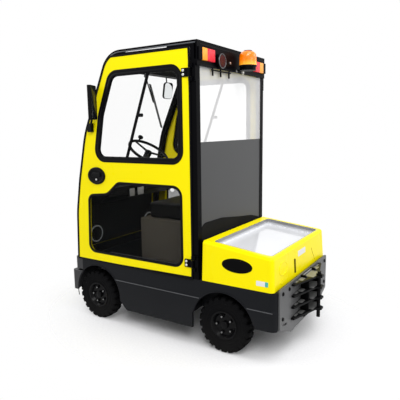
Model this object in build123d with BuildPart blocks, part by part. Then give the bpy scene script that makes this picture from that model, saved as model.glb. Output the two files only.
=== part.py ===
from build123d import *
from math import atan2, cos, degrees, hypot, radians, sin
import os

# Airport baggage tug: a battery tow tractor with a closed cab over the front axle,
# an opening rear hood with a parcels tray, and a ladder coupling behind.
# +X points forward, +Y to the driver's left, +Z up. The origin is on the floor,
# under the middle of the length. Lengths are in millimetres, angles in degrees.

# Overall reaches, counted from the rear axle
wheelbase = 1238.0
front_overhang = 281.0
coupling_reach = 553.0
rear_axle_x = (coupling_reach - wheelbase - front_overhang) / 2

# Clearances
panel_gap = 0.3
running_gap = 0.06
edge_gap = 6.0

# Wheels
tyre_radius = 207.5
tyre_width = 102.0
wheel_outer_y = 535.0
wheel_y = wheel_outer_y - tyre_width / 2
bead_radius = 116.0
bead_draw = 9.0
lug_count = 22
lug_height = 14.5
lug_root_share = 0.74
lug_tip_share = 0.62
rim_radius = 101.5
rim_wall = 6.5
rim_lip = 6.0
disc_offset = 22.0
drum_offset = -38.0
nut_count = 5
nut_circle_radius = 62.0
nut_radius = 13.0
nut_height = 12.0
hub_cap_radius = 27.0
hub_cap_reach = 18.0
stub_radius = 20.0
stub_reach = 18.0

# Steering
kingpin_y = 415.0
kingpin_radius = 12.0
kingpin_reach = 70.0
knuckle_radius = 27.0
knuckle_height = 84.0
yoke_gap = 2.0
yoke_thickness = 20.0
yoke_radius = 25.0
beam_rear = -11.0
beam_front = 35.0
beam_height = 70.0
arm_length = 110.0
arm_width = 20.0
arm_thickness = 14.0
arm_drop = 36.0
track_pin_radius = 7.0
track_pin_reach = 24.0
track_rod_radius = 11.0
track_eye_radius = 15.0
track_rod_drop = 14.0

# Drive axle
axle_tube_radius = 42.0
gear_case_radius = 100.0
gear_case_length = 220.0
gear_case_rise = 12.0
motor_radius = 80.0
motor_length = 250.0

# Chassis
chassis_half_width = 545.0
chassis_top_z = 522.0
coupling_depth = 144.0
chassis_rear_x = coupling_depth - coupling_reach
chassis_corner_radius = 50.0
skirt_thickness = 12.0
skirt_bottom_z = 145.0
rear_skirt_z = 250.0
ledge_z = 396.0
ledge_rise = 18.0
ledge_depth = 6.0
floor_thickness = 12.0
rear_arch_radius = 254.0
front_arch_radius = 245.0
front_arch_shift = -26.0
front_arch_rise = 24.5
sill_front_x = wheelbase - 336.0
sill_slant = 80.0
front_well_inner_y = 285.0
rear_well_inner_y = 405.0
well_plate = 8.0
rail_y = 240.0
rail_width = 60.0
rail_height = 80.0
rail_bottom_z = 262.0
bumper_rear_x = wheelbase + 152.0
well_front_x = wheelbase + 240.0

# Bumper, in two tiers
bumper_lower_x = wheelbase + front_overhang
bumper_upper_inset = 40.0
bumper_neck_inset = 62.0
bumper_neck_half = chassis_half_width - 12.0
bumper_corner = 30.0
bumper_neck_corner = 25.0
bumper_upper_z = 417.0
bumper_lower_top_z = 398.0
bumper_lower_z = 225.0
bumper_cut_z = 457.0

# Rear plate, with a slot at each lower corner
rear_plate_thickness = 12.0
rear_plate_half = 505.0
rear_plate_top_z = 540.0
rear_plate_corner_z = 258.0
rear_plate_low_z = 170.0
rear_plate_low_half = 300.0
plate_slot_y = 418.0
plate_slot_z = 271.0
plate_slot_length = 82.0
plate_slot_width = 18.0
plate_slot_tilt = 15.0

# Coupling ladder and its drop pin
tongue_count = 4
tongue_pitch = 83.0
tongue_low_z = 260.0
tongue_thickness = 14.0
tongue_base_half = 300.0
tongue_foot = 22.0
tongue_tip_half = 46.0
tongue_tip_share = 0.3
coupling_back = 10.0
rib_y = 105.0
rib_thickness = 14.0
rib_reach = 62.0
rib_low_z = 219.0
rib_high_z = 538.0
coupling_pin_x = coupling_reach - 30.0
coupling_pin_radius = 14.0
coupling_pin_play = 1.5
coupling_pin_low_z = 197.0
coupling_pin_top_z = 552.0
pin_collar = 8.0

# Rear hood and its tray
hood_front_x = 167.0
hood_rear_inset = 20.0
hood_rear_x = chassis_rear_x + hood_rear_inset
hood_front_z = 814.0
hood_rear_z = 752.0
hood_half_width = 544.0
hood_draft = 3.2
hood_wall = 4.0
hood_corner_radius = 30.0
hood_edge_radius = 22.0
hood_hinge_x = hood_front_x + 6.0
hood_hinge_z = hood_front_z - 16.0
hood_hinge_radius = 7.0
hood_hinge_y = 467.0
hood_hinge_length = 30.0
lock_slot_y = 140.0
lock_slot_width = 14.0
lock_slot_low_z = 563.0
lock_slot_high_z = 656.0
tray_front_x = 105.0
tray_rear_inset = 39.0
tray_rear_x = hood_rear_x + tray_rear_inset
tray_half_width = 480.0
tray_corner_radius = 30.0
tray_depth = 47.0
tray_wall = 4.0
tray_hole_depth = 60.0

# Battery, under the hood
battery_shift = 21.0
battery_margin = 136.0
battery_x = (hood_front_x + hood_rear_x) / 2 + battery_shift
battery_length = hood_front_x - hood_rear_x - battery_margin
battery_width = 780.0
battery_height = 310.0
battery_clearance = 5.0

# Cab shell
cab_rear_x = 193.0
cab_front_x = wheelbase + 212.0
cab_half_width = 547.0
roof_z = 2205.0
roof_thickness = 14.0
roof_fall = 125.0
pillar_depth = 50.0
pillar_width = 50.0
frame_depth = 45.0
glass_thickness = 5.0
sheet_thickness = 4.0
beam_depth = 36.0
front_sill_top_z = 590.0
front_rail_low_z = 1120.0
front_rail_top_z = 1190.0
screen_low_z = 1180.0
rear_window_low_z = 1516.0
header_low_z = roof_z - 168.0
header_depth = 10.0
rear_sheet_inset = 6.0

# Doors
door_outer_y = 553.0
door_skin = 4.0
door_depth = 30.0
door_inset = 17.0
door_rim_inset = 58.0
door_low_z = chassis_top_z - 7.0
door_top_z = roof_z - 39.0
seal_width = 47.0
seal_lap = 8.0
seal_proud = 3.0
seal_depth = 20.0
pane_inset = 8.0
divider_width = 25.0
hinge_low_z = 640.0
hinge_top_z = roof_z - 211.0
hinge_height = 58.0
hinge_radius = 9.0
hinge_leaf = 66.0
hinge_boss = 29.0
hinge_seat_gap = 1.0
latch_x = cab_front_x - 288.0
latch_z = 1243.0
latch_half_length = 94.0
latch_half_height = 70.0
latch_reach = 14.0

# Mirrors, carried by the doors
mirror_z = roof_z - 383.0
mirror_x = cab_front_x - 340.0
mirror_y = door_outer_y + 67.0
mirror_height = 262.0
mirror_width = 110.0
mirror_depth = 30.0
mirror_turn = 22.0
mirror_foot_x = cab_front_x - 258.0
mirror_foot_width = 40.0
mirror_foot_height = 70.0
mirror_foot_z = 1630.0
mirror_tube = 18.0

# Lamps
lamp_radius = 75.0
lamp_y = 370.0
lamp_z = 700.0
lamp_depth = 60.0
lamp_recess = 12.0
tail_low_z = roof_z - 130.0
tail_high_z = roof_z - 45.0
tail_depth = 14.5
tail_inner_y = 325.0
tail_mid_y = 429.0
tail_outer_y = 499.0
tail_end_y = 540.0
work_lamp_y = 248.0
work_lamp_z = roof_z - 112.0
work_lamp_radius = 52.5
work_lamp_x = 150.0
beacon_x = 97.0
beacon_y = -50.0
beacon_radius = 67.0
beacon_ribs = 24
beacon_height = 118.0
beacon_foot = 29.0
beacon_arm = 60.0
wiper_boss = 13.0

# Driver's seat and controls
seat_x = 700.0
seat_box_length = 500.0
seat_box_width = 560.0
seat_box_height = 345.0
seat_length = 440.0
seat_width = 500.0
cushion_thickness = 130.0
seat_back_height = 470.0
seat_back_thickness = 90.0
seat_back_lean = 75.0
wheel_hub_x = cab_front_x - 385.0
wheel_hub_z = 1401.0
column_lean = 33.0
column_radius = 30.0
hub_depth = 12.0
hub_height = 30.0
handwheel_radius = 184.0
handwheel_section = 11.0
spinner_turn = -15.0
spinner_radius = 20.0
spinner_height = 26.0
spinner_stalk = 9.0
spinner_reach = 68.0
dash_top_z = 1118.0
dash_low_z = 1000.0
dash_rear_x = cab_front_x - 320.0

hands = (("left", 1), ("right", -1))
os.makedirs("parts", exist_ok=True)


def side(y):
    """Upright plane along the tug: local x forward from the rear axle, local y up."""
    return Plane(origin=(rear_axle_x, y, 0), x_dir=(1, 0, 0), z_dir=(0, -1, 0))


def across(x):
    """Upright plane across the tug: local x to the left, local y up, facing forward."""
    return Plane(origin=(rear_axle_x + x, 0, 0), x_dir=(0, 1, 0), z_dir=(1, 0, 0))


def level(z):
    """Level plane: local x forward from the rear axle, local y to the left."""
    return Plane(origin=(rear_axle_x, 0, z), x_dir=(1, 0, 0), z_dir=(0, 0, 1))


def bar_between(start, end, width):
    """Flat round-ended bar from one point to another."""
    run, rise = end[0] - start[0], end[1] - start[1]
    with BuildSketch() as bar:
        with Locations(((start[0] + end[0]) / 2, (start[1] + end[1]) / 2)):
            SlotCenterToCenter(hypot(run, rise), width, rotation=degrees(atan2(rise, run)))
    return bar.sketch


# Tyres: a flat ring with a stepped bead seat, and two staggered rings of lugs round it.
# This is the shape that shows most skill: both lug rings come from one toothed outline.
axle_z = tyre_radius
half_tyre = tyre_width / 2
lug_root_radius = tyre_radius - lug_height
lug_pitch = 360 / lug_count


def lug_outline(phase):
    """Corners of one toothed ring of lugs, turned by phase, a share of the pitch."""
    root_half, tip_half = lug_pitch * lug_root_share / 2, lug_pitch * lug_tip_share / 2
    corners = []
    for lug in range(lug_count):
        for turn, radius in (
            (-root_half, lug_root_radius),
            (-tip_half, tyre_radius),
            (tip_half, tyre_radius),
            (root_half, lug_root_radius),
        ):
            angle = radians((lug + phase) * lug_pitch + turn)
            corners.append((radius * cos(angle), radius * sin(angle)))
    return corners


wheel_places = [
    (axle_name, hand, axle_x, sign)
    for axle_name, axle_x in (("front", wheelbase), ("rear", 0.0))
    for hand, sign in hands
]
for axle_name, hand, axle_x, sign in wheel_places:
    axle_line = Axis((rear_axle_x + axle_x, 0, axle_z), (0, 1, 0))
    with BuildPart() as tyre:
        for ring_side, phase in ((1, 0.0), (-1, 0.5)):
            with BuildSketch(side(sign * wheel_y)):
                with Locations((axle_x, axle_z)):
                    Polygon(*lug_outline(phase), align=None)
            extrude(amount=-sign * ring_side * half_tyre)
        with BuildSketch(side(sign * (wheel_y + half_tyre))):
            with Locations((axle_x, axle_z)):
                Circle(rim_radius + panel_gap)
        extrude(amount=sign * tyre_width, mode=Mode.SUBTRACT)
        for face in (-1, 1):
            with BuildSketch(side(sign * wheel_y + face * (half_tyre - bead_draw))):
                with Locations((axle_x, axle_z)):
                    Circle(bead_radius)
            extrude(amount=-face * 2 * bead_draw, mode=Mode.SUBTRACT)
    tyre_name = f"tyre_{axle_name}_{hand}"
    tyre.part.label = tyre_name
    export_step(tyre.part, f"parts/{tyre_name}.step")

# Rims: a barrel round a dished disc with five nuts and a hub cap, closed behind by the drum
barrel_half = half_tyre - bead_draw / 2
stub_socket = stub_reach + panel_gap
rim_section = [
    # offset outwards from the wheel's middle, radius
    (drum_offset, rim_radius),
    (drum_offset, stub_radius + running_gap),
    (stub_socket, stub_radius + running_gap),
    (stub_socket, 0),
    (disc_offset + hub_cap_reach, 0),
    (disc_offset + hub_cap_reach, hub_cap_radius),
    (disc_offset, hub_cap_radius),
    (disc_offset, nut_circle_radius + nut_radius + 3),
    (barrel_half, rim_radius - rim_wall),
    (barrel_half, rim_radius + rim_lip),
    (half_tyre - bead_draw + panel_gap, rim_radius + rim_lip),
    (half_tyre - bead_draw + panel_gap, rim_radius),
]
for axle_name, hand, axle_x, sign in wheel_places:
    axle_line = Axis((rear_axle_x + axle_x, 0, axle_z), (0, 1, 0))
    with BuildPart() as rim:
        with BuildSketch(across(axle_x)):
            with BuildLine():
                Polyline(
                    *[(sign * (wheel_y + out), axle_z + radius) for out, radius in rim_section],
                    close=True,
                )
            make_face()
        revolve(axis=axle_line)
        with BuildSketch(side(sign * (wheel_y + disc_offset))):
            with Locations((axle_x, axle_z)):
                with PolarLocations(nut_circle_radius, nut_count):
                    RegularPolygon(nut_radius, 6)
        extrude(amount=-sign * nut_height)
    rim_name = f"rim_{axle_name}_{hand}"
    rim.part.label = rim_name
    export_step(rim.part, f"parts/{rim_name}.step")

# Knuckles: kingpin, forged boss, stub axle and steering arm for each front wheel
stub_end_y = wheel_y + stub_reach
arm_low_z = axle_z - arm_drop
for hand, sign in hands:
    with BuildPart() as knuckle:
        with BuildSketch(level(axle_z - kingpin_reach)):
            with Locations((wheelbase, sign * kingpin_y)):
                Circle(kingpin_radius)
        extrude(amount=2 * kingpin_reach)
        with BuildSketch(level(axle_z - knuckle_height / 2)):
            with Locations((wheelbase, sign * kingpin_y)):
                RegularPolygon(knuckle_radius, 8, rotation=180 / 8)
        extrude(amount=knuckle_height)
        with BuildSketch(side(sign * kingpin_y)):
            with Locations((wheelbase, axle_z)):
                Circle(stub_radius)
        extrude(amount=-sign * (stub_end_y - kingpin_y))
        with BuildSketch(level(arm_low_z)):
            with Locations((wheelbase - arm_length / 2, sign * kingpin_y)):
                SlotCenterToCenter(arm_length, arm_width)
        extrude(amount=arm_thickness)
        with BuildSketch(level(arm_low_z)):
            with Locations((wheelbase - arm_length, sign * kingpin_y)):
                Circle(track_pin_radius)
        extrude(amount=-track_pin_reach)
    knuckle.part.label = f"knuckle_{hand}"
    export_step(knuckle.part, f"parts/knuckle_{hand}.step")

# Track rod between the two steering arms, hung on their pins
with BuildPart() as track_rod:
    rod_z = arm_low_z - track_rod_drop
    rod_end_y = kingpin_y - track_eye_radius + 2
    with BuildSketch(side(rod_end_y)):
        with Locations((wheelbase - arm_length, rod_z)):
            RegularPolygon(track_rod_radius, 8, rotation=180 / 8)
    extrude(amount=2 * rod_end_y)
    with BuildSketch(level(rod_z - track_rod_radius)):
        for hand, sign in hands:
            with Locations((wheelbase - arm_length, sign * kingpin_y)):
                Circle(track_eye_radius)
                Circle(track_pin_radius + panel_gap, mode=Mode.SUBTRACT)
    extrude(amount=2 * track_rod_radius)
track_rod.part.label = "track_rod"
export_step(track_rod.part, "parts/track_rod.step")

# Front axle: a beam ahead of the kingpins' line, a yoke at each end, and the rails' pads
beam_end_y = kingpin_y - knuckle_radius - edge_gap
yoke_half_height = knuckle_height / 2 + yoke_gap + yoke_thickness
with BuildPart() as front_axle:
    with BuildSketch(across(wheelbase + beam_rear)):
        with Locations((0, axle_z)):
            Rectangle(2 * beam_end_y, beam_height)
        for hand, sign in hands:
            with Locations((sign * (beam_end_y - yoke_thickness / 2), axle_z)):
                Rectangle(yoke_thickness, 2 * yoke_half_height)
            with Locations((sign * rail_y, (axle_z + rail_bottom_z) / 2)):
                Rectangle(rail_width, rail_bottom_z - axle_z)
    extrude(amount=beam_front - beam_rear)
    for low_z in (axle_z - yoke_half_height, axle_z + yoke_half_height - yoke_thickness):
        with BuildSketch(level(low_z)):
            for hand, sign in hands:
                yoke_root_y = beam_end_y - yoke_thickness
                with Locations((wheelbase, sign * (yoke_root_y + kingpin_y) / 2)):
                    Rectangle(2 * yoke_radius, kingpin_y - yoke_root_y)
                with Locations((wheelbase, sign * kingpin_y)):
                    Circle(yoke_radius)
                    Circle(kingpin_radius + running_gap, mode=Mode.SUBTRACT)
        extrude(amount=yoke_thickness)
front_axle.part.label = "front_axle"
export_step(front_axle.part, "parts/front_axle.step")

# Rear drive axle: stub ends, tube, gear case and the drive motor ahead of it
tube_end_y = wheel_y + drum_offset - edge_gap
with BuildPart() as rear_axle:
    for reach, radius in ((stub_end_y, stub_radius), (tube_end_y, axle_tube_radius)):
        with BuildSketch(side(reach)):
            with Locations((0, axle_z)):
                Circle(radius)
        extrude(amount=2 * reach)
    with BuildSketch(across(-gear_case_length / 2)):
        with Locations((0, axle_z + gear_case_rise)):
            RegularPolygon(gear_case_radius, 8, rotation=180 / 8)
    extrude(amount=gear_case_length)
    with BuildSketch(across(gear_case_length / 2)):
        with Locations((0, axle_z + gear_case_rise)):
            Circle(motor_radius)
    extrude(amount=motor_length)
    with BuildSketch(across(-axle_tube_radius)):
        for hand, sign in hands:
            with Locations((sign * rail_y, (axle_z + rail_bottom_z) / 2)):
                Rectangle(rail_width, rail_bottom_z - axle_z)
    extrude(amount=2 * axle_tube_radius)
rear_axle.part.label = "rear_axle"
export_step(rear_axle.part, "parts/rear_axle.step")

# Chassis: side plates with a sloped ledge, carried round the rear corners, the floor
# plate between them, and the wheel arches cut through both sides
arch_x = wheelbase + front_arch_shift
arch_z = axle_z + front_arch_rise
inner_y = chassis_half_width - skirt_thickness
side_section = [
    # half width, z
    (inner_y, skirt_bottom_z),
    (chassis_half_width + ledge_depth, skirt_bottom_z),
    (chassis_half_width + ledge_depth, ledge_z - ledge_rise),
    (chassis_half_width, ledge_z),
    (chassis_half_width, chassis_top_z),
    (inner_y, chassis_top_z),
]
corner_x = chassis_rear_x + chassis_corner_radius
corner_y = chassis_half_width - chassis_corner_radius
floor_low_z = chassis_top_z - floor_thickness
battery_hole_length = battery_length + 2 * battery_clearance
battery_hole_width = battery_width + 2 * battery_clearance
with BuildPart() as chassis:
    for hand, sign in hands:
        with BuildSketch(across(corner_x)):
            with BuildLine():
                Polyline(*[(sign * y, z) for y, z in side_section], close=True)
            make_face()
        extrude(amount=bumper_rear_x - corner_x)
        with BuildSketch(across(corner_x)):
            with BuildLine():
                Polyline(*[(sign * y, z) for y, z in side_section], close=True)
            make_face()
        corner_line = Axis((rear_axle_x + corner_x, sign * corner_y, 0), (0, 0, sign))
        revolve(axis=corner_line, revolution_arc=90)
    with BuildSketch(side(chassis_half_width + 50)):
        with Locations((0, axle_z)):
            Circle(rear_arch_radius)
            Rectangle(2 * rear_arch_radius, 2 * (axle_z - skirt_bottom_z) + 2, align=Align.CENTER)
        with Locations((arch_x, arch_z)):
            Circle(front_arch_radius)
        with BuildLine():
            Polyline(
                (sill_front_x, skirt_bottom_z),
                (sill_front_x + sill_slant, arch_z),
                (bumper_rear_x + 1, arch_z),
                (bumper_rear_x + 1, skirt_bottom_z - 1),
                (sill_front_x, skirt_bottom_z - 1),
                close=True,
            )
        make_face()
        with Locations((chassis_rear_x, (skirt_bottom_z + rear_skirt_z) / 2 - 1)):
            Rectangle(-2 * chassis_rear_x, rear_skirt_z - skirt_bottom_z + 2)
        with Locations((chassis_rear_x - ledge_depth, chassis_top_z / 2)):
            Rectangle(2 * ledge_depth, chassis_top_z)
    extrude(amount=2 * chassis_half_width + 100, mode=Mode.SUBTRACT)
    with BuildSketch(level(floor_low_z)):
        with Locations(((corner_x + bumper_rear_x) / 2, 0)):
            Rectangle(bumper_rear_x - corner_x, 2 * inner_y)
        with Locations(((chassis_rear_x + corner_x) / 2, 0)):
            Rectangle(chassis_corner_radius, 2 * corner_y)
        with Locations((battery_x, 0)):
            Rectangle(battery_hole_length, battery_hole_width, mode=Mode.SUBTRACT)
    extrude(amount=floor_thickness)
chassis.part.label = "chassis"
export_step(chassis.part, "parts/chassis.step")

# Frame rails: two box rails under the floor, joined by the shelf that carries the battery
shelf_z = rail_bottom_z + rail_height
with BuildPart() as frame_rails:
    for hand, sign in hands:
        with BuildSketch(across(chassis_rear_x)):
            with Locations((sign * rail_y, rail_bottom_z + rail_height / 2)):
                Rectangle(rail_width, rail_height)
        extrude(amount=bumper_rear_x - chassis_rear_x)
    with BuildSketch(level(shelf_z)):
        with Locations((battery_x, 0)):
            Rectangle(battery_hole_length, battery_hole_width)
    extrude(amount=well_plate)
frame_rails.part.label = "frame_rails"
export_step(frame_rails.part, "parts/frame_rails.step")

# Wheel wells: inner plates beside the wheels, with cross plates before and behind them
well_top_z = floor_low_z
front_well_rear_x = wheelbase - front_arch_radius - 30
well_rows = [
    # low x, high x, inner half width, low x of each cross plate
    (
        -rear_arch_radius,
        rear_arch_radius,
        rear_well_inner_y,
        (-rear_arch_radius - well_plate, rear_arch_radius),
    ),
    (front_well_rear_x, bumper_rear_x, front_well_inner_y, (front_well_rear_x - well_plate,)),
]
with BuildPart() as wheel_wells:
    for low_x, high_x, well_y, cross_xs in well_rows:
        for hand, sign in hands:
            with BuildSketch(side(sign * well_y)):
                with Locations(((low_x + high_x) / 2, (rail_bottom_z + well_top_z) / 2)):
                    Rectangle(high_x - low_x, well_top_z - rail_bottom_z)
            extrude(amount=sign * well_plate)
            for cross_x in cross_xs:
                with BuildSketch(across(cross_x)):
                    cross_y = sign * (inner_y + well_y - well_plate) / 2
                    with Locations((cross_y, (rail_bottom_z + well_top_z) / 2)):
                        Rectangle(inner_y - well_y + well_plate, well_top_z - rail_bottom_z)
                extrude(amount=well_plate)
wheel_wells.part.label = "wheel_wells"
export_step(wheel_wells.part, "parts/wheel_wells.step")

# Bumper: two stepped tiers round the front, hollowed for the wheel wells
bumper_upper_x = bumper_lower_x - bumper_upper_inset
bumper_neck_x = bumper_lower_x - bumper_neck_inset
bumper_tiers = [
    # front x, half width, low z, high z, corner radius
    (bumper_lower_x, chassis_half_width + ledge_depth, bumper_lower_z, bumper_lower_top_z, bumper_corner),
    (bumper_neck_x, bumper_neck_half, bumper_lower_top_z, bumper_upper_z, bumper_neck_corner),
    (bumper_upper_x, chassis_half_width, bumper_upper_z, chassis_top_z - panel_gap, bumper_corner),
]
bumper_back_x = bumper_rear_x + panel_gap
with BuildPart() as bumper:
    for front_x, half_width, low_z, high_z, corner in bumper_tiers:
        with BuildSketch(level(low_z)):
            with BuildLine():
                FilletPolyline(
                    (bumper_back_x, -half_width),
                    (front_x, -half_width),
                    (front_x, half_width),
                    (bumper_back_x, half_width),
                    radius=corner,
                )
                Line((bumper_back_x, half_width), (bumper_back_x, -half_width))
            make_face()
        extrude(amount=high_z - low_z)
    with BuildSketch(side(chassis_half_width + 50)):
        with Locations((arch_x, arch_z)):
            Circle(front_arch_radius)
        with Locations((arch_x, bumper_lower_z - 10)):
            Rectangle(2 * front_arch_radius, 2 * (arch_z - bumper_lower_z + 4))
    extrude(amount=2 * chassis_half_width + 100, mode=Mode.SUBTRACT)
    with BuildSketch(level(bumper_lower_z - 1)):
        for hand, sign in hands:
            well_mid_y = sign * (front_well_inner_y + inner_y) / 2
            with Locations(((bumper_back_x + well_front_x) / 2, well_mid_y)):
                Rectangle(well_front_x - bumper_back_x, inner_y - front_well_inner_y)
    extrude(amount=bumper_cut_z - bumper_lower_z, mode=Mode.SUBTRACT)
bumper.part.label = "bumper"
export_step(bumper.part, "parts/bumper.step")

# Battery: one block in the rear of the chassis, under the hood
with BuildPart() as battery:
    with BuildSketch(level(shelf_z + well_plate + panel_gap)):
        with Locations((battery_x, 0)):
            Rectangle(battery_length, battery_width)
    extrude(amount=battery_height)
battery.part.label = "battery"
export_step(battery.part, "parts/battery.step")

# Rear plate: thick steel, cut away towards the bottom, with a slot in each lower corner
with BuildPart() as rear_plate:
    with BuildSketch(across(chassis_rear_x - panel_gap)):
        with BuildLine():
            Polyline(
                (-rear_plate_half, rear_plate_top_z - 12),
                (12 - rear_plate_half, rear_plate_top_z),
                (rear_plate_half - 12, rear_plate_top_z),
                (rear_plate_half, rear_plate_top_z - 12),
                (rear_plate_half, rear_plate_corner_z),
                (rear_plate_low_half, rear_plate_low_z),
                (-rear_plate_low_half, rear_plate_low_z),
                (-rear_plate_half, rear_plate_corner_z),
                close=True,
            )
        make_face()
        for hand, sign in hands:
            with Locations((sign * plate_slot_y, plate_slot_z)):
                SlotOverall(
                    plate_slot_length,
                    plate_slot_width,
                    rotation=sign * plate_slot_tilt,
                    mode=Mode.SUBTRACT,
                )
    extrude(amount=-rear_plate_thickness)
rear_plate.part.label = "rear_plate"
export_step(rear_plate.part, "parts/rear_plate.step")

# Coupling: four tongues on two upright ribs, with the drop pin through their tips
coupling_x = chassis_rear_x - rear_plate_thickness - 2 * panel_gap
tongue_reach = coupling_reach + coupling_x
tip_x = -coupling_reach
tongue_shoulder_x = tip_x + tongue_reach * tongue_tip_share
tongue_levels = [tongue_low_z + step * tongue_pitch for step in range(tongue_count)]
with BuildPart() as coupling:
    for tongue_z in tongue_levels:
        with BuildSketch(level(tongue_z)):
            with BuildLine():
                Polyline(
                    (coupling_x, tongue_base_half),
                    (coupling_x - tongue_foot, tongue_base_half),
                    (tongue_shoulder_x, tongue_tip_half),
                    (tip_x, tongue_tip_half / 2),
                    (tip_x, -tongue_tip_half / 2),
                    (tongue_shoulder_x, -tongue_tip_half),
                    (coupling_x - tongue_foot, -tongue_base_half),
                    (coupling_x, -tongue_base_half),
                    close=True,
                )
            make_face()
            with Locations((-coupling_pin_x, 0)):
                Circle(coupling_pin_radius + coupling_pin_play, mode=Mode.SUBTRACT)
        extrude(amount=tongue_thickness)
    for hand, sign in hands:
        with BuildSketch(side(sign * rib_y + rib_thickness / 2)):
            with BuildLine():
                Polyline(
                    (coupling_x, rib_low_z),
                    (coupling_x, rib_high_z),
                    (coupling_x - rib_reach / 2, rib_high_z),
                    (coupling_x - rib_reach, rib_high_z - rib_reach / 2),
                    (coupling_x - rib_reach, rib_low_z + rib_reach / 2),
                    (coupling_x - rib_reach / 2, rib_low_z),
                    close=True,
                )
            make_face()
        extrude(amount=rib_thickness)
    with BuildSketch(across(coupling_x)):
        with Locations((0, (tongue_levels[0] + tongue_levels[-1] + tongue_thickness) / 2)):
            Rectangle(2 * rib_y + rib_thickness, tongue_levels[-1] - tongue_levels[0] + tongue_thickness)
    extrude(amount=-coupling_back)
coupling.part.label = "coupling"
export_step(coupling.part, "parts/coupling.step")

with BuildPart() as coupling_pin:
    pin_seat_z = tongue_levels[-1] + tongue_thickness + panel_gap
    pin_spans = [
        # low z, high z, radius
        (coupling_pin_low_z, coupling_pin_top_z, coupling_pin_radius),
        (pin_seat_z, pin_seat_z + pin_collar, coupling_pin_radius + pin_collar),
    ]
    for low_z, high_z, radius in pin_spans:
        with BuildSketch(level(low_z)):
            with Locations((-coupling_pin_x, 0)):
                Circle(radius)
        extrude(amount=high_z - low_z)
coupling_pin.part.label = "coupling_pin"
export_step(coupling_pin.part, "parts/coupling_pin.step")

# Rear hood: a drafted shell with rounded edges, open below and towards the cab, with the
# tray's hole in its top, the lock's slot in its back and two hinge eyes at the front
hood_slope = (hood_front_z - hood_rear_z) / (hood_front_x - hood_rear_x)
deck = Plane(
    origin=(rear_axle_x + hood_front_x, 0, hood_front_z),
    x_dir=(1, 0, hood_slope),
    z_dir=(-hood_slope, 0, 1),
)
hood_low_z = chassis_top_z + panel_gap
hood_height = hood_front_z - hood_low_z + 40
hood_length = hood_front_x - hood_rear_x


def hood_block(inset):
    """Solid inside the hood's outer faces, drawn in by inset on every side but the bottom."""
    corner, edge = hood_corner_radius - inset, hood_edge_radius - inset
    with BuildPart() as block:
        with BuildSketch(level(hood_low_z)):
            with Locations((hood_front_x, 0)):
                Rectangle(2 * (hood_length - inset), 2 * (hood_half_width - inset))
        extrude(amount=hood_height, taper=hood_draft)
        with BuildSketch(deck.offset(-inset)):
            Rectangle(8 * hood_length, 8 * hood_half_width)
        extrude(amount=hood_height, mode=Mode.SUBTRACT)
        with BuildSketch(across(hood_front_x)):
            with Locations((0, hood_low_z + hood_height / 2)):
                Rectangle(4 * hood_half_width, 4 * hood_height)
        extrude(amount=2 * hood_length, mode=Mode.SUBTRACT)
        back = block.faces().sort_by(Axis.X)[0]
        uprights = back.edges().filter_by(Axis.Y, reverse=True)
        fillet(uprights, corner)
        top = block.faces().sort_by(Axis.Z)[-1]
        front_edge = top.edges().sort_by(Axis.X)[-1]
        fillet([edge_ for edge_ in top.edges() if edge_ != front_edge], edge)
    return block.part


tray_mid_x = (tray_front_x + tray_rear_x) / 2 - hood_front_x
tray_length = tray_front_x - tray_rear_x
with BuildPart() as hood:
    add(hood_block(0))
    add(hood_block(hood_wall), mode=Mode.SUBTRACT)
    with BuildSketch(deck):
        with Locations((tray_mid_x, 0)):
            RectangleRounded(tray_length, 2 * tray_half_width, tray_corner_radius)
    extrude(amount=-tray_hole_depth, mode=Mode.SUBTRACT)
    with BuildSketch(across(hood_rear_x + 2 * hood_corner_radius)):
        with Locations((lock_slot_y, (lock_slot_low_z + lock_slot_high_z) / 2)):
            Rectangle(lock_slot_width, lock_slot_high_z - lock_slot_low_z)
    extrude(amount=-3 * hood_corner_radius, mode=Mode.SUBTRACT)
    for hand, sign in hands:
        with BuildSketch(side(sign * hood_hinge_y + hood_hinge_length / 2)):
            with Locations((hood_hinge_x, hood_hinge_z)):
                Circle(hood_hinge_radius)
            with BuildLine():
                eye_top_z = hood_front_z - hood_wall
                Polyline(
                    (hood_hinge_x, hood_hinge_z - hood_hinge_radius / 2),
                    (hood_hinge_x, hood_hinge_z + hood_hinge_radius / 2),
                    (hood_front_x - 4, eye_top_z),
                    (hood_front_x - 34, eye_top_z - 30 * hood_slope),
                    (hood_front_x - 34, eye_top_z - 30 * hood_slope - 6),
                    (hood_front_x - 12, hood_hinge_z),
                    close=True,
                )
            make_face()
        extrude(amount=hood_hinge_length)
hood.part.label = "hood"
export_step(hood.part, "parts/hood.step")

with BuildPart() as tray:
    with BuildSketch(deck):
        with Locations((tray_mid_x, 0)):
            RectangleRounded(
                tray_length - 2 * panel_gap,
                2 * tray_half_width - 2 * panel_gap,
                tray_corner_radius,
            )
    extrude(amount=-tray_depth - tray_wall)
    with BuildSketch(deck):
        with Locations((tray_mid_x, 0)):
            RectangleRounded(
                tray_length - 2 * tray_wall,
                2 * tray_half_width - 2 * tray_wall,
                tray_corner_radius - tray_wall,
            )
    extrude(amount=-tray_depth, mode=Mode.SUBTRACT)
tray.part.label = "tray"
export_step(tray.part, "parts/tray.step")

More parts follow.
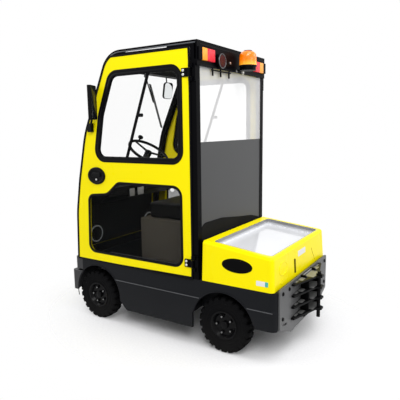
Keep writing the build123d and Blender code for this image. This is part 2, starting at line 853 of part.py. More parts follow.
# Cab outlines, seen from the side: x from the rear axle, z, corner radius
cab_foot_z = chassis_top_z + panel_gap
roof_low_z = roof_z - roof_fall
cab_profile = [
    (cab_rear_x, cab_foot_z - 200, 1),
    (cab_rear_x, roof_z, 4),
    (cab_front_x - 447, roof_z, 200),
    (cab_front_x - 160, 1580, 800),
    (cab_front_x - 72, 1200, 800),
    (cab_front_x - 26, 930, 800),
    (cab_front_x, cab_foot_z - 200, 1),
]
cab_length = cab_front_x - cab_rear_x
cab_mid_x = (cab_front_x + cab_rear_x) / 2
with BuildSketch() as cab_outline:
    with BuildLine():
        FilletPolyline(
            *[(x, z) for x, z, corner in cab_profile],
            radius=[corner for x, z, corner in cab_profile],
            close=True,
        )
    make_face()


def cab_inset(inset, low_z, high_z):
    """The cab's side outline drawn in by inset, kept between two heights."""
    with BuildSketch() as outline:
        add(cab_outline.sketch)
        if inset:
            offset(amount=-inset, mode=Mode.REPLACE)
        with Locations((cab_mid_x, (low_z + high_z) / 2)):
            Rectangle(2 * cab_length, high_z - low_z, mode=Mode.INTERSECT)
    return outline.sketch


def cab_band(outer, inner, low_z, high_z):
    """Strip of the cab's shell between two insets, ahead of the rear pillars."""
    with BuildSketch() as strip:
        add(cab_inset(outer, low_z, high_z))
        add(cab_inset(inner, low_z - 10, high_z + 10), mode=Mode.SUBTRACT)
        with Locations((cab_rear_x + pillar_depth + cab_length, (low_z + high_z) / 2)):
            Rectangle(2 * cab_length, high_z - low_z + 40, mode=Mode.INTERSECT)
    return strip.sketch


# Cab frame: two side rings joined by cross beams, with the hinge posts of the doors on the
# rear pillars and the hood's hinge brackets behind them
hinge_levels = [hinge_low_z, hinge_top_z]
hinge_axis_x = cab_rear_x + 43
hinge_axis_y = door_outer_y + hinge_radius + 2
inner_rail_y = cab_half_width - pillar_width
with BuildPart() as cab_frame:
    for hand, sign in hands:
        with BuildSketch(side(sign * cab_half_width)):
            add(cab_inset(0, cab_foot_z, roof_low_z))
            add(cab_inset(roof_thickness + panel_gap, roof_low_z, roof_z))
            add(cab_inset(frame_depth, cab_foot_z + frame_depth, roof_z), mode=Mode.SUBTRACT)
        extrude(amount=sign * pillar_width)
        for hinge_z in hinge_levels:
            post_low_z = hinge_z - hinge_height / 2 - hinge_boss - hinge_seat_gap
            with BuildSketch(level(post_low_z)):
                with Locations((cab_rear_x + hinge_leaf / 3, sign * (cab_half_width + 4))):
                    Rectangle(2 * hinge_leaf / 3, 8)
            extrude(amount=hinge_height + 2 * hinge_boss + 2 * hinge_seat_gap)
            for low_z in (post_low_z, hinge_z + hinge_height / 2 + hinge_seat_gap):
                with BuildSketch(level(low_z)):
                    with Locations((hinge_axis_x, sign * hinge_axis_y)):
                        Circle(hinge_radius)
                    with Locations((hinge_axis_x - 14, sign * (cab_half_width + 10))):
                        Rectangle(18, 20)
                extrude(amount=hinge_boss)
        bracket_y = sign * (hood_hinge_y + hood_hinge_length + hinge_seat_gap)
        with BuildSketch(side(bracket_y + hood_hinge_length / 2)):
            with Locations((hood_hinge_x, hood_hinge_z)):
                Circle(hood_hinge_radius)
            with Locations(((hood_hinge_x + cab_rear_x + 5) / 2, hood_hinge_z)):
                Rectangle(cab_rear_x + 5 - hood_hinge_x, 2 * hood_hinge_radius)
        extrude(amount=hood_hinge_length)
    beams = [
        # side sketch of each cross beam
        cab_band(roof_thickness + panel_gap, frame_depth, roof_low_z + 5, roof_low_z + 70),
        cab_band(roof_thickness, frame_depth, front_rail_low_z, front_rail_top_z),
        cab_band(roof_thickness, frame_depth, cab_foot_z, front_sill_top_z),
    ]
    for beam in beams:
        with BuildSketch(side(inner_rail_y + 1)):
            add(beam)
        extrude(amount=2 * inner_rail_y + 2)
    rear_beams = [
        # middle height, height
        (roof_z - 60, 60),
        (rear_window_low_z - 20, 30),
        (chassis_top_z + 25, 40),
    ]
    with BuildSketch(side(inner_rail_y + 1)):
        for beam_z, beam_height in rear_beams:
            with Locations((cab_rear_x + 30, beam_z)):
                Rectangle(beam_depth, beam_height)
    extrude(amount=2 * inner_rail_y + 2)
cab_frame.part.label = "cab_frame"
export_step(cab_frame.part, "parts/cab_frame.step")

# Roof: one sheet, level over the cab and bent down to the windscreen
with BuildPart() as roof:
    with BuildSketch(side(cab_half_width)):
        add(cab_inset(0, roof_low_z + panel_gap, roof_z))
        add(cab_inset(roof_thickness, 0, roof_z), mode=Mode.SUBTRACT)
        with Locations((cab_rear_x, roof_z - roof_thickness - roof_fall / 2)):
            Rectangle(2 * frame_depth, roof_fall, mode=Mode.SUBTRACT)
    extrude(amount=2 * cab_half_width)
roof.part.label = "roof"
export_step(roof.part, "parts/roof.step")

# Windscreen and front panel, bent to the front pillars
shell_half_width = inner_rail_y - panel_gap
with BuildPart() as windscreen:
    with BuildSketch(side(shell_half_width)):
        add(cab_band(edge_gap, edge_gap + glass_thickness, screen_low_z, roof_low_z))
    extrude(amount=2 * shell_half_width)
windscreen.part.label = "windscreen"
export_step(windscreen.part, "parts/windscreen.step")

with BuildPart() as front_panel:
    with BuildSketch(side(shell_half_width)):
        add(cab_band(edge_gap / 2, edge_gap / 2 + 4, cab_foot_z, screen_low_z - panel_gap))
    extrude(amount=2 * shell_half_width)
    with BuildSketch(across(cab_front_x + 20)):
        for hand, sign in hands:
            with Locations((sign * lamp_y, lamp_z)):
                Circle(lamp_radius + panel_gap)
    extrude(amount=-2 * lamp_depth, mode=Mode.SUBTRACT)
front_panel.part.label = "front_panel"
export_step(front_panel.part, "parts/front_panel.step")

with BuildPart() as headlamps:
    with BuildSketch(across(cab_front_x - lamp_recess - lamp_depth)):
        for hand, sign in hands:
            with Locations((sign * lamp_y, lamp_z)):
                Circle(lamp_radius)
    extrude(amount=lamp_depth)
headlamps.part.label = "headlamps"
export_step(headlamps.part, "parts/headlamps.step")

# Cab back: dark panel below, window above, lamp header across the top
rear_sheets = [
    # node, thickness, low z, high z
    ("rear_panel", sheet_thickness, cab_foot_z, rear_window_low_z),
    ("rear_window", glass_thickness, rear_window_low_z + panel_gap, header_low_z - panel_gap),
]
for sheet_name, thickness, low_z, high_z in rear_sheets:
    with BuildPart() as rear_sheet:
        with BuildSketch(across(cab_rear_x + rear_sheet_inset)):
            with Locations((0, (low_z + high_z) / 2)):
                Rectangle(2 * shell_half_width, high_z - low_z)
        extrude(amount=thickness)
    rear_sheet.part.label = sheet_name
    export_step(rear_sheet.part, f"parts/{sheet_name}.step")

header_back_x = cab_rear_x - panel_gap - header_depth
beacon_base_z = header_low_z + 13
with BuildPart() as lamp_header:
    with BuildSketch(across(cab_rear_x - panel_gap)):
        with Locations((0, (header_low_z + roof_z) / 2)):
            Rectangle(2 * cab_half_width, roof_z - header_low_z)
    extrude(amount=-header_depth)
    for hand, sign in hands:
        with BuildSketch(across(header_back_x)):
            with Locations((sign * (tail_end_y + tail_outer_y) / 2, (tail_low_z + tail_high_z) / 2)):
                Rectangle(tail_end_y - tail_outer_y, tail_high_z - tail_low_z)
        extrude(amount=-tail_depth)
    with BuildSketch(level(beacon_base_z)):
        with Locations(((beacon_x + header_back_x + 5) / 2, beacon_y)):
            Rectangle(header_back_x + 5 - beacon_x, beacon_arm)
    extrude(amount=8)
    with BuildSketch(level(beacon_base_z)):
        with Locations((beacon_x, beacon_y)):
            Circle(beacon_radius - 5)
    extrude(amount=beacon_foot)
lamp_header.part.label = "lamp_header"
export_step(lamp_header.part, "parts/lamp_header.step")

beacon_steps = [
    # height and taper of each ribbed step, from the foot up
    (beacon_height * 0.62, 0),
    (beacon_height * 0.24, 20),
    (beacon_height * 0.14, 60),
]
with BuildPart() as beacon:
    with BuildSketch(level(beacon_base_z + beacon_foot + panel_gap)):
        with Locations((beacon_x, beacon_y)):
            RegularPolygon(beacon_radius, beacon_ribs)
    for step_height, step_taper in beacon_steps:
        top_face = beacon.faces().sort_by(Axis.Z)[-1] if beacon.part else None
        extrude(top_face, amount=step_height, taper=step_taper)
beacon.part.label = "beacon"
export_step(beacon.part, "parts/beacon.step")

lamp_rows = [
    # node, near y, far y
    ("amber_lamps", tail_mid_y + panel_gap, tail_outer_y - panel_gap),
    ("red_lamps", tail_inner_y, tail_mid_y - panel_gap),
]
for lamp_name, near_y, far_y in lamp_rows:
    with BuildPart() as lamps:
        with BuildSketch(across(header_back_x - panel_gap)):
            for hand, sign in hands:
                with Locations((sign * (near_y + far_y) / 2, (tail_low_z + tail_high_z) / 2)):
                    Rectangle(far_y - near_y, tail_high_z - tail_low_z)
        extrude(amount=-tail_depth)
    lamps.part.label = lamp_name
    export_step(lamps.part, f"parts/{lamp_name}.step")

with BuildPart() as work_lamp:
    with BuildSketch(across(header_back_x - panel_gap)):
        with Locations((work_lamp_y, work_lamp_z)):
            Circle(work_lamp_radius)
    extrude(amount=work_lamp_x - header_back_x + panel_gap)
work_lamp.part.label = "work_lamp"
export_step(work_lamp.part, "parts/work_lamp.step")

# Doors: a skin over an inner rim, seals with a sloping divider, panes, latch and hinges
window_top_z = door_top_z - 106
window_low_z = 1355.0
window_height = window_top_z - window_low_z
window_mid_z = window_low_z + window_height * 0.54
window_corner = window_height * 0.142
window_bend = window_height * 0.4255
with BuildSketch() as door_outline:
    add(cab_inset(door_inset, door_low_z, door_top_z))
    with Locations((hinge_axis_x + 8 + cab_length, (door_low_z + door_top_z) / 2)):
        Rectangle(2 * cab_length, door_top_z - door_low_z, mode=Mode.INTERSECT)
upper_seal_corners = [
    # x, z, corner radius
    (cab_rear_x + 112, window_low_z, window_corner),
    (cab_rear_x + 112, window_top_z, window_corner),
    (cab_front_x - 465, window_top_z, 1.1 * window_corner),
    (cab_front_x - 333, window_mid_z, window_bend),
    (cab_front_x - 260, window_low_z, window_corner),
]
lower_pane_corners = [
    # x, z, corner radius
    (cab_rear_x + 132, 595, 80),
    (cab_rear_x + 132, 1200, 80),
    (cab_front_x - 510, 1200, 50),
    (cab_front_x - 392, 1102, 50),
    (cab_front_x - 182, 1082, 60),
    (cab_front_x - 160, 595, 70),
]
divider_ends = [
    # x, z of the sloping bar between the sliding panes
    (cab_front_x - 846, window_top_z - seal_width + seal_lap),
    (cab_front_x - 614, window_low_z + seal_width - seal_lap),
]


def rounded_outline(corners):
    """Flat outline through a table of corners, each rounded by its own radius."""
    with BuildSketch() as outline:
        with BuildLine():
            FilletPolyline(
                *[(x, z) for x, z, corner in corners],
                radius=[corner for x, z, corner in corners],
                close=True,
            )
        make_face()
    return outline.sketch


def drawn_in(outline, inset):
    """A copy of a flat outline, drawn in by inset."""
    with BuildSketch() as copy:
        add(outline)
        offset(amount=-inset, mode=Mode.REPLACE)
    return copy.sketch


upper_seal_outline = rounded_outline(upper_seal_corners)
lower_pane_outline = rounded_outline(lower_pane_corners)
for hand, sign in hands:
    with BuildPart() as door:
        with BuildSketch(side(sign * door_outer_y)):
            add(door_outline.sketch)
            add(upper_seal_outline, mode=Mode.SUBTRACT)
            add(lower_pane_outline, mode=Mode.SUBTRACT)
        extrude(amount=sign * door_skin)
        with BuildSketch(side(sign * (door_outer_y - door_skin))):
            add(drawn_in(door_outline.sketch, door_rim_inset))
            add(upper_seal_outline, mode=Mode.SUBTRACT)
            add(lower_pane_outline, mode=Mode.SUBTRACT)
        extrude(amount=sign * (door_depth - door_skin))
        for hinge_z in hinge_levels:
            with BuildSketch(level(hinge_z - hinge_height / 2)):
                with Locations((hinge_axis_x, sign * hinge_axis_y)):
                    Circle(hinge_radius)
                with Locations((hinge_axis_x + hinge_leaf / 2 + 3, sign * (door_outer_y + 4))):
                    Rectangle(hinge_leaf, 8)
            extrude(amount=hinge_height)
    door.part.label = f"door_{hand}"
    export_step(door.part, f"parts/door_{hand}.step")

    with BuildPart() as seals:
        with BuildSketch(side(sign * (door_outer_y + seal_proud))):
            add(drawn_in(upper_seal_outline, panel_gap))
            add(drawn_in(upper_seal_outline, seal_width), mode=Mode.SUBTRACT)
        extrude(amount=sign * (seal_proud + seal_depth))
        with BuildSketch(side(sign * (door_outer_y - 1))):
            add(bar_between(*divider_ends, divider_width))
        extrude(amount=sign * (pane_inset - 1 - panel_gap))
    seals.part.label = f"window_seal_{hand}"
    export_step(seals.part, f"parts/window_seal_{hand}.step")

    with BuildPart() as panes:
        with BuildSketch(side(sign * (door_outer_y - pane_inset))):
            add(drawn_in(upper_seal_outline, seal_width + panel_gap))
        extrude(amount=sign * glass_thickness)
        with BuildSketch(side(sign * (door_outer_y - pane_inset / 2))):
            add(drawn_in(lower_pane_outline, panel_gap))
        extrude(amount=sign * glass_thickness)
    panes.part.label = f"door_glass_{hand}"
    export_step(panes.part, f"parts/door_glass_{hand}.step")

    with BuildPart() as latch:
        with BuildSketch(side(sign * (door_outer_y + panel_gap))):
            with Locations((latch_x, latch_z)):
                Ellipse(latch_half_length, latch_half_height)
        extrude(amount=-sign * latch_reach)
    latch.part.label = f"door_latch_{hand}"
    export_step(latch.part, f"parts/door_latch_{hand}.step")

    with BuildPart() as mirror_arm:
        with BuildSketch(side(sign * (door_outer_y + panel_gap))):
            with Locations((mirror_foot_x, mirror_foot_z)):
                Rectangle(mirror_foot_width, mirror_foot_height)
        extrude(amount=-sign * mirror_depth)
        tube_foot = Vector(rear_axle_x + mirror_foot_x, sign * (door_outer_y + 18), mirror_foot_z)
        head_low_z = mirror_z - mirror_height / 2
        tube_head = Vector(rear_axle_x + mirror_x, sign * mirror_y, head_low_z + 30)
        tube_line = tube_head - tube_foot
        with BuildSketch(Plane(origin=tube_foot, x_dir=(0, 1, 0), z_dir=tube_line)):
            RegularPolygon(mirror_tube / 2, 8)
        extrude(amount=tube_line.length)
        with BuildSketch(level(head_low_z)):
            with Locations((mirror_x, sign * mirror_y)):
                RectangleRounded(
                    mirror_depth,
                    mirror_width,
                    mirror_depth / 3,
                    rotation=sign * mirror_turn,
                )
        extrude(amount=mirror_height)
    mirror_arm.part.label = f"mirror_{hand}"
    export_step(mirror_arm.part, f"parts/mirror_{hand}.step")

# Wiper, pivoted on the roof's front edge, its blade lying on the windscreen
screen_foot_x, screen_foot_z, screen_corner = cab_profile[3]
screen_top_x, screen_top_z, screen_top_corner = cab_profile[2]
screen_run = hypot(screen_top_x - screen_foot_x, screen_top_z - screen_foot_z)
screen_rise = (screen_top_z - screen_foot_z) / screen_run
screen_lean = (screen_foot_x - screen_top_x) / screen_run
screen = Plane(
    origin=(rear_axle_x + screen_foot_x, 0, screen_foot_z),
    x_dir=(0, 1, 0),
    z_dir=(screen_rise, 0, screen_lean),
)
screen_height = (roof_low_z - screen_foot_z) / screen_rise
wiper_pivot = (-11.0, screen_height - 13)
wiper_elbow = (-235.0, screen_height * 0.555)
blade_top = (-95.0, screen_height * 0.855)
blade_tip = (-478.0, screen_height * 0.1)
with BuildPart() as wiper:
    with BuildSketch(screen.offset(panel_gap)):
        with Locations(wiper_pivot):
            Circle(wiper_boss)
        with Locations((wiper_pivot[0], screen_height)):
            Rectangle(2 * wiper_boss, 3 * wiper_boss)
    extrude(amount=20)
    with BuildSketch(screen.offset(10)):
        add(bar_between(wiper_pivot, wiper_elbow, 10))
    extrude(amount=6)
    with BuildSketch(screen.offset(panel_gap - edge_gap)):
        add(bar_between(blade_top, blade_tip, 12))
    extrude(amount=17)
wiper.part.label = "wiper"
export_step(wiper.part, "parts/wiper.step")

# Seat, on a closed box
cushion_low_z = chassis_top_z + seat_box_height + 2 * panel_gap
seat_blocks = [
    # node, length, width, low z, height, corner radius
    ("seat_box", seat_box_length, seat_box_width, cab_foot_z, seat_box_height, 12),
    ("seat_cushion", seat_length, seat_width, cushion_low_z, cushion_thickness, 40),
]
for block_name, length, width, low_z, height, corner in seat_blocks:
    with BuildPart() as seat_block:
        with BuildSketch(level(low_z)):
            with Locations((seat_x, 0)):
                RectangleRounded(length, width, corner)
        extrude(amount=height)
    seat_block.part.label = block_name
    export_step(seat_block.part, f"parts/{block_name}.step")

back_foot_x = seat_x - seat_length / 2
back_top_z = cushion_low_z + seat_back_height
with BuildPart() as seat_back:
    with BuildSketch(side(seat_width / 2 - 20)):
        with BuildLine():
            Polyline(
                (back_foot_x - panel_gap, cushion_low_z),
                (back_foot_x - seat_back_thickness, cushion_low_z + 20),
                (back_foot_x - seat_back_thickness - seat_back_lean, back_top_z - 40),
                (back_foot_x - seat_back_thickness - seat_back_lean + 25, back_top_z),
                (back_foot_x - seat_back_lean - 15, back_top_z),
                (back_foot_x - seat_back_lean, back_top_z - 40),
                (back_foot_x - panel_gap, cushion_low_z + cushion_thickness),
                close=True,
            )
        make_face()
    extrude(amount=seat_width - 40)
seat_back.part.label = "seat_back"
export_step(seat_back.part, "parts/seat_back.step")

# Dash, steering column and steering wheel
with BuildPart() as dash:
    with BuildSketch(side(shell_half_width)):
        with BuildLine():
            Polyline(
                (cab_front_x - 84, dash_low_z + 60),
                (cab_front_x - 105, dash_top_z),
                (dash_rear_x + 30, dash_top_z),
                (dash_rear_x, dash_low_z + 60),
                (dash_rear_x + 70, dash_low_z),
                (cab_front_x - 84, dash_low_z),
                close=True,
            )
        make_face()
    extrude(amount=2 * shell_half_width)
dash.part.label = "dash"
export_step(dash.part, "parts/dash.step")

column_line = Plane(
    origin=(rear_axle_x + wheel_hub_x, 0, wheel_hub_z),
    x_dir=(cos(radians(column_lean)), 0, sin(radians(column_lean))),
    z_dir=(-sin(radians(column_lean)), 0, cos(radians(column_lean))),
)
column_length = (wheel_hub_z - dash_top_z) / cos(radians(column_lean)) + 2 * column_radius
with BuildPart() as steering_column:
    with BuildSketch(column_line.offset(-column_length)):
        Circle(column_radius)
    extrude(amount=column_length - hub_depth)
    with BuildSketch(level(dash_top_z + panel_gap)):
        with Locations((wheel_hub_x, 0)):
            Rectangle(4 * column_length, 4 * column_radius)
    extrude(amount=-column_length, mode=Mode.SUBTRACT)
steering_column.part.label = "steering_column"
export_step(steering_column.part, "parts/steering_column.step")

with BuildPart() as steering_wheel:
    with BuildSketch(column_line.offset(running_gap - hub_depth)):
        Circle(column_radius + 2)
    extrude(amount=hub_height)
    with BuildSketch(column_line.offset(4)):
        with PolarLocations(handwheel_radius / 2, 3):
            Rectangle(handwheel_radius, 20)
    extrude(amount=8)
    rim_line = Plane(origin=column_line.origin, x_dir=column_line.x_dir, z_dir=(0, -1, 0))
    with BuildSketch(rim_line):
        with Locations((handwheel_radius, 10)):
            RegularPolygon(handwheel_section, 6)
    revolve(axis=Axis(column_line.origin, column_line.z_dir))
    spinner_spot = Vector(handwheel_radius, 0).rotate(Axis.Z, spinner_turn)
    with BuildSketch(column_line.offset(handwheel_section)):
        with Locations((spinner_spot.X, spinner_spot.Y)):
            Circle(spinner_stalk)
    extrude(amount=spinner_reach - handwheel_section)
    with BuildSketch(column_line.offset(spinner_reach)):
        with Locations((spinner_spot.X, spinner_spot.Y)):
            Circle(spinner_radius)
    extrude(amount=-spinner_height)
steering_wheel.part.label = "steering_wheel"
export_step(steering_wheel.part, "parts/steering_wheel.step")
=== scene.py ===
import math

import bmesh
import bpy
import mathutils
import numpy as np
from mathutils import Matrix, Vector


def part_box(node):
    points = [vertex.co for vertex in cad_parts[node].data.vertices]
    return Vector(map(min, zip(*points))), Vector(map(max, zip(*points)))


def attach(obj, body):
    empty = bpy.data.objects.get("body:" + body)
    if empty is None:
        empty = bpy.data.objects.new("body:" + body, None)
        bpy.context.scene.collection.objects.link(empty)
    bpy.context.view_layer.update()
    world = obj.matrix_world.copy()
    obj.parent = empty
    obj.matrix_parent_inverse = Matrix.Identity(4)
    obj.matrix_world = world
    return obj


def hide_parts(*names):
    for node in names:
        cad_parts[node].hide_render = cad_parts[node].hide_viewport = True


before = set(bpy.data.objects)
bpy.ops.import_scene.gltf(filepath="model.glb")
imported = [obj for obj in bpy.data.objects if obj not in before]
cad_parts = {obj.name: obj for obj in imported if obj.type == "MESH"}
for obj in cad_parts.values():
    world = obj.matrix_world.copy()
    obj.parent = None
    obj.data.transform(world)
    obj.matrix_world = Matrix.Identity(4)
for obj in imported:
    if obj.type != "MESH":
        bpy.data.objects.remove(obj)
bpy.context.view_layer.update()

# Chassis, bumper and the steel below: pressed and welded plate under semi-matt charcoal
# paint that gathers road dust towards the ground. The CAD solids keep their shapes here,
# and everything along the tug is placed from the rear axle.
rear_middle = np.array(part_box("tyre_rear_left")).mean(axis=0)
front_middle = np.array(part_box("tyre_front_left")).mean(axis=0)
rear_x, axle_z, front_x = float(rear_middle[0]), float(rear_middle[2]), float(front_middle[0])
hands = (("left", 1), ("right", -1))
charcoal = (0.0070, 0.0077, 0.0095)
bumper_grey = (0.024, 0.0245, 0.027)
forged_grey = (0.020, 0.020, 0.021)
road_dust = (0.16, 0.15, 0.135)


def blank_material(name):
    """A node material: itself, its two makers of nodes and links, its shader, and the
    object's own coordinates, by which noise is placed."""
    made = bpy.data.materials.new(name)
    made.use_nodes = True
    new, link = made.node_tree.nodes.new, made.node_tree.links.new
    shader = made.node_tree.nodes["Principled BSDF"]
    return made, new, link, shader, new("ShaderNodeTexCoord").outputs["Object"]


def give(node, values):
    """Sets inputs of a node, each named or numbered, to plain values."""
    for key, value in values.items():
        node.inputs[key].default_value = value


def finish(name, colour, rough, metal=0.0, coat=0.0, mottle=0.08, patch=0.3, grain=0.003,
           relief=0.15, dust=0.0, dust_top=0.45, edge=0.0, gloss=0.5):
    """Opaque finish. A slow noise of size patch drifts the colour and roughness, a fine
    noise of size grain lifts the surface, and dust thins out from the ground to dust_top."""
    made, new, link, shader, place = blank_material(name)
    slow, fine = new("ShaderNodeTexNoise"), new("ShaderNodeTexNoise")
    give(slow, {"Scale": 1 / patch, "Detail": 4.0})
    give(fine, {"Scale": 1 / grain, "Detail": 2.0})
    link(place, slow.inputs["Vector"])
    link(place, fine.inputs["Vector"])
    drift = new("ShaderNodeMix")
    drift.data_type = "RGBA"
    darker, paler = [c * (1 - mottle) for c in colour], [min(1, c * (1 + mottle)) for c in colour]
    give(drift, {6: (*darker, 1), 7: (*paler, 1)})
    link(slow.outputs["Fac"], drift.inputs[0])
    shown = drift.outputs[2]
    if dust:
        height, low = new("ShaderNodeSeparateXYZ"), new("ShaderNodeMapRange")
        link(place, height.inputs[0])
        link(height.outputs["Z"], low.inputs["Value"])
        give(low, {"From Max": dust_top, "To Min": dust, "To Max": 0.0})
        patchy, dusty = new("ShaderNodeMath"), new("ShaderNodeMix")
        patchy.operation, dusty.data_type = "MULTIPLY", "RGBA"
        link(low.outputs["Result"], patchy.inputs[0])
        link(slow.outputs["Fac"], patchy.inputs[1])
        link(patchy.outputs[0], dusty.inputs[0])
        link(shown, dusty.inputs[6])
        give(dusty, {7: (*road_dust, 1)})
        shown = dusty.outputs[2]
    link(shown, shader.inputs["Base Color"])
    sheen_range = new("ShaderNodeMapRange")
    give(sheen_range, {"To Min": rough * 0.8, "To Max": min(1.0, rough * 1.2)})
    link(slow.outputs["Fac"], sheen_range.inputs["Value"])
    link(sheen_range.outputs["Result"], shader.inputs["Roughness"])
    lift = new("ShaderNodeBump")
    give(lift, {"Strength": relief, "Distance": grain * 0.4})
    link(fine.outputs["Fac"], lift.inputs["Height"])
    if edge:
        rounded = new("ShaderNodeBevel")
        rounded.samples = 6
        give(rounded, {"Radius": edge})
        link(rounded.outputs["Normal"], lift.inputs["Normal"])
    link(lift.outputs["Normal"], shader.inputs["Normal"])
    give(shader, {"Metallic": metal, "Specular IOR Level": gloss})
    give(shader, {"Coat Weight": coat, "Coat Roughness": 0.06})
    return made


def dress(material, *names):
    """Gives CAD nodes their material, and leaves their meshes alone."""
    for name in names:
        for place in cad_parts[name].material_slots:
            place.material = material


charcoal_paint = finish("charcoal_paint", charcoal, 0.45, dust=0.05, edge=0.003, relief=0.25, gloss=0.09)
bumper_paint = finish("bumper_paint", bumper_grey, 0.42, dust=0.06, edge=0.004, relief=0.25, gloss=0.3)
black_steel = finish("black_steel", (0.0022, 0.0022, 0.0026), 0.34, dust=0.02, edge=0.002, gloss=0.07)
forged_steel = finish("forged_steel", forged_grey, 0.6, metal=0.3, dust=0.3, relief=0.4)
battery_case = finish("battery_case", (0.03, 0.03, 0.033), 0.6)
dress(charcoal_paint, "chassis", "wheel_wells")
dress(bumper_paint, "bumper")
dress(black_steel, "frame_rails", "coupling", "coupling_pin")
dress(forged_steel, "front_axle", "rear_axle", "track_rod", "knuckle_left", "knuckle_right")
dress(battery_case, "battery")

# Wheel arch lips: a thin folded edge round each arch, welded to the skirt and painted
# with it. Each is a round bar that follows the arch between the skirt's bottom corners.
arch_table = (
    # middle of the arch from the rear axle, radius, rise, first and last angle
    (0.0, 0.254, 0.0, 14.0, 166.0),
    (front_x - rear_x - 0.026, 0.245, 0.0245, -14.0, 166.0),
)
lip_radius, lip_y, lip_points = 0.0035, 0.5465, 49


def grid_faces(rows, cols, wrap_rows=False, wrap_cols=True):
    """Corner numbers of each cell in a grid of rows by cols points; a wrapped side joins
    its last line of points to its first."""
    r = np.arange(rows if wrap_rows else rows - 1)[:, None]
    c = np.arange(cols if wrap_cols else cols - 1)[None, :]
    r1, c1 = (r + 1) % rows, (c + 1) % cols
    cells = np.stack([r * cols + c, r * cols + c1, r1 * cols + c1, r1 * cols + c], axis=-1)
    return cells.reshape(-1, 4)


def capped(rings, first_middle, last_middle):
    """A stack of rings of points joined into a wall, and closed at each end by a fan of
    triangles to a middle point. Returns points and faces."""
    rows, count = rings.shape[:2]
    points = np.concatenate([rings.reshape(-1, 3), [first_middle], [last_middle]])
    first, last, top = rows * count, rows * count + 1, (rows - 1) * count
    faces = grid_faces(rows, count).tolist()
    faces += [[first, (i + 1) % count, i] for i in range(count)]
    faces += [[last, top + i, top + (i + 1) % count] for i in range(count)]
    return points, faces


def tube(path, radius, sides=10):
    """Round bar along a path of points: a circle at each point, in the plane across the
    path's direction there, closed by a fan at each end. Returns points and faces."""
    path = np.asarray(path, float)
    run = np.gradient(path, axis=0)
    run /= np.linalg.norm(run, axis=1)[:, None]
    spread = np.ptp(path, axis=0)
    flat = np.eye(3)[int(np.argmin(spread))]
    u = np.cross(run, flat)
    u /= np.linalg.norm(u, axis=1)[:, None]
    v = np.cross(run, u)
    turn = np.linspace(0, 2 * np.pi, sides, endpoint=False)
    outward = np.cos(turn)[:, None] * u[:, None] + np.sin(turn)[:, None] * v[:, None]
    return capped(path[:, None] + radius * outward, path[0], path[-1])


def placed(name, data):
    """An object made from its data and put into the scene."""
    made = bpy.data.objects.new(name, data)
    bpy.context.collection.objects.link(made)
    return made


def piece(name, parts, material, body, sharp=35.0, replaces=()):
    """One mesh object from several shapes, each given as points and faces: doubles are
    merged, faces turned outwards, and edges that turn more than sharp degrees stay crisp."""
    points, faces, start = [], [], 0
    for part_points, part_faces in parts:
        points.append(np.asarray(part_points, float))
        faces += [[int(i) + start for i in face] for face in part_faces]
        start += len(part_points)
    mesh = bpy.data.meshes.new(name)
    mesh.from_pydata(np.concatenate(points).tolist(), [], faces)
    work = bmesh.new()
    work.from_mesh(mesh)
    bmesh.ops.remove_doubles(work, verts=work.verts, dist=1e-6)
    bmesh.ops.recalc_face_normals(work, faces=work.faces)
    work.to_mesh(mesh)
    work.free()
    mesh.polygons.foreach_set("use_smooth", np.ones(len(mesh.polygons), bool))
    mesh.set_sharp_from_angle(angle=math.radians(sharp))
    mesh.materials.append(material)
    made = placed(name, mesh)
    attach(made, body)
    if replaces:
        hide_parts(*replaces)
    return made


lips = []
for arch_x, arch_radius, arch_rise, first_angle, last_angle in arch_table:
    sweep = np.radians(np.linspace(first_angle, last_angle, lip_points))
    for hand, sign in hands:
        lip_path = np.stack([
            rear_x + arch_x + arch_radius * np.cos(sweep),
            np.full(lip_points, sign * lip_y),
            axle_z + arch_rise + arch_radius * np.sin(sweep),
        ], axis=1)
        lips.append(tube(lip_path, lip_radius))
piece("arch_lips", lips, charcoal_paint, "chassis")

# Bumper cap: a round bar rolled round the top of the bumper's upper tier, in front of the doors,
# painted pale grey as a highlight on that edge. It turns both front corners in a quarter circle.
highlight_edge = finish("highlight_edge", (0.13, 0.13, 0.14), 0.4, mottle=0.3, patch=0.04, relief=0.2, gloss=0.3)
cap_front_x, cap_end_x = rear_x + 1.470, rear_x + 1.408
cap_half_width, cap_corner, cap_z, cap_bar_radius = 0.524, 0.030, 0.528, 0.009
cap_turn = np.linspace(0, math.pi / 2, 10)
cap_near = np.stack([
    cap_front_x - cap_corner + cap_corner * np.sin(cap_turn),
    cap_half_width - cap_corner + cap_corner * np.cos(cap_turn),
], axis=1)
cap_far = cap_near[::-1] * np.array([1, -1])
cap_line = np.concatenate([[(cap_end_x, cap_half_width)], cap_near, cap_far, [(cap_end_x, -cap_half_width)]])
cap_path = np.concatenate([cap_line, np.full((len(cap_line), 1), cap_z)], axis=1)
piece("bumper_cap", [tube(cap_path, cap_bar_radius)], highlight_edge, "chassis")

# Skirt bead: a rolled edge along the step of each skirt, painted paler than the skirt as a
# highlight where light catches the step. It stops short of the arches.
bead_highlight_grey = finish("bead_highlight_grey", (0.055, 0.057, 0.062), 0.4, mottle=0.2, patch=0.05)
bead_y, bead_z, bead_radius, bead_points = 0.5502, 0.3845, 0.0034, 30
bead_runs = (
    # first and last place from the rear axle
    (-0.385, -0.196),
    (0.192, 1.008),
)
beads = []
for run_start, run_end in bead_runs:
    for hand, sign in hands:
        bead_start = (rear_x + run_start, sign * bead_y, bead_z)
        bead_end = (rear_x + run_end, sign * bead_y, bead_z)
        beads.append(tube(np.linspace(bead_start, bead_end, bead_points), bead_radius))
piece("skirt_beads", beads, bead_highlight_grey, "chassis")

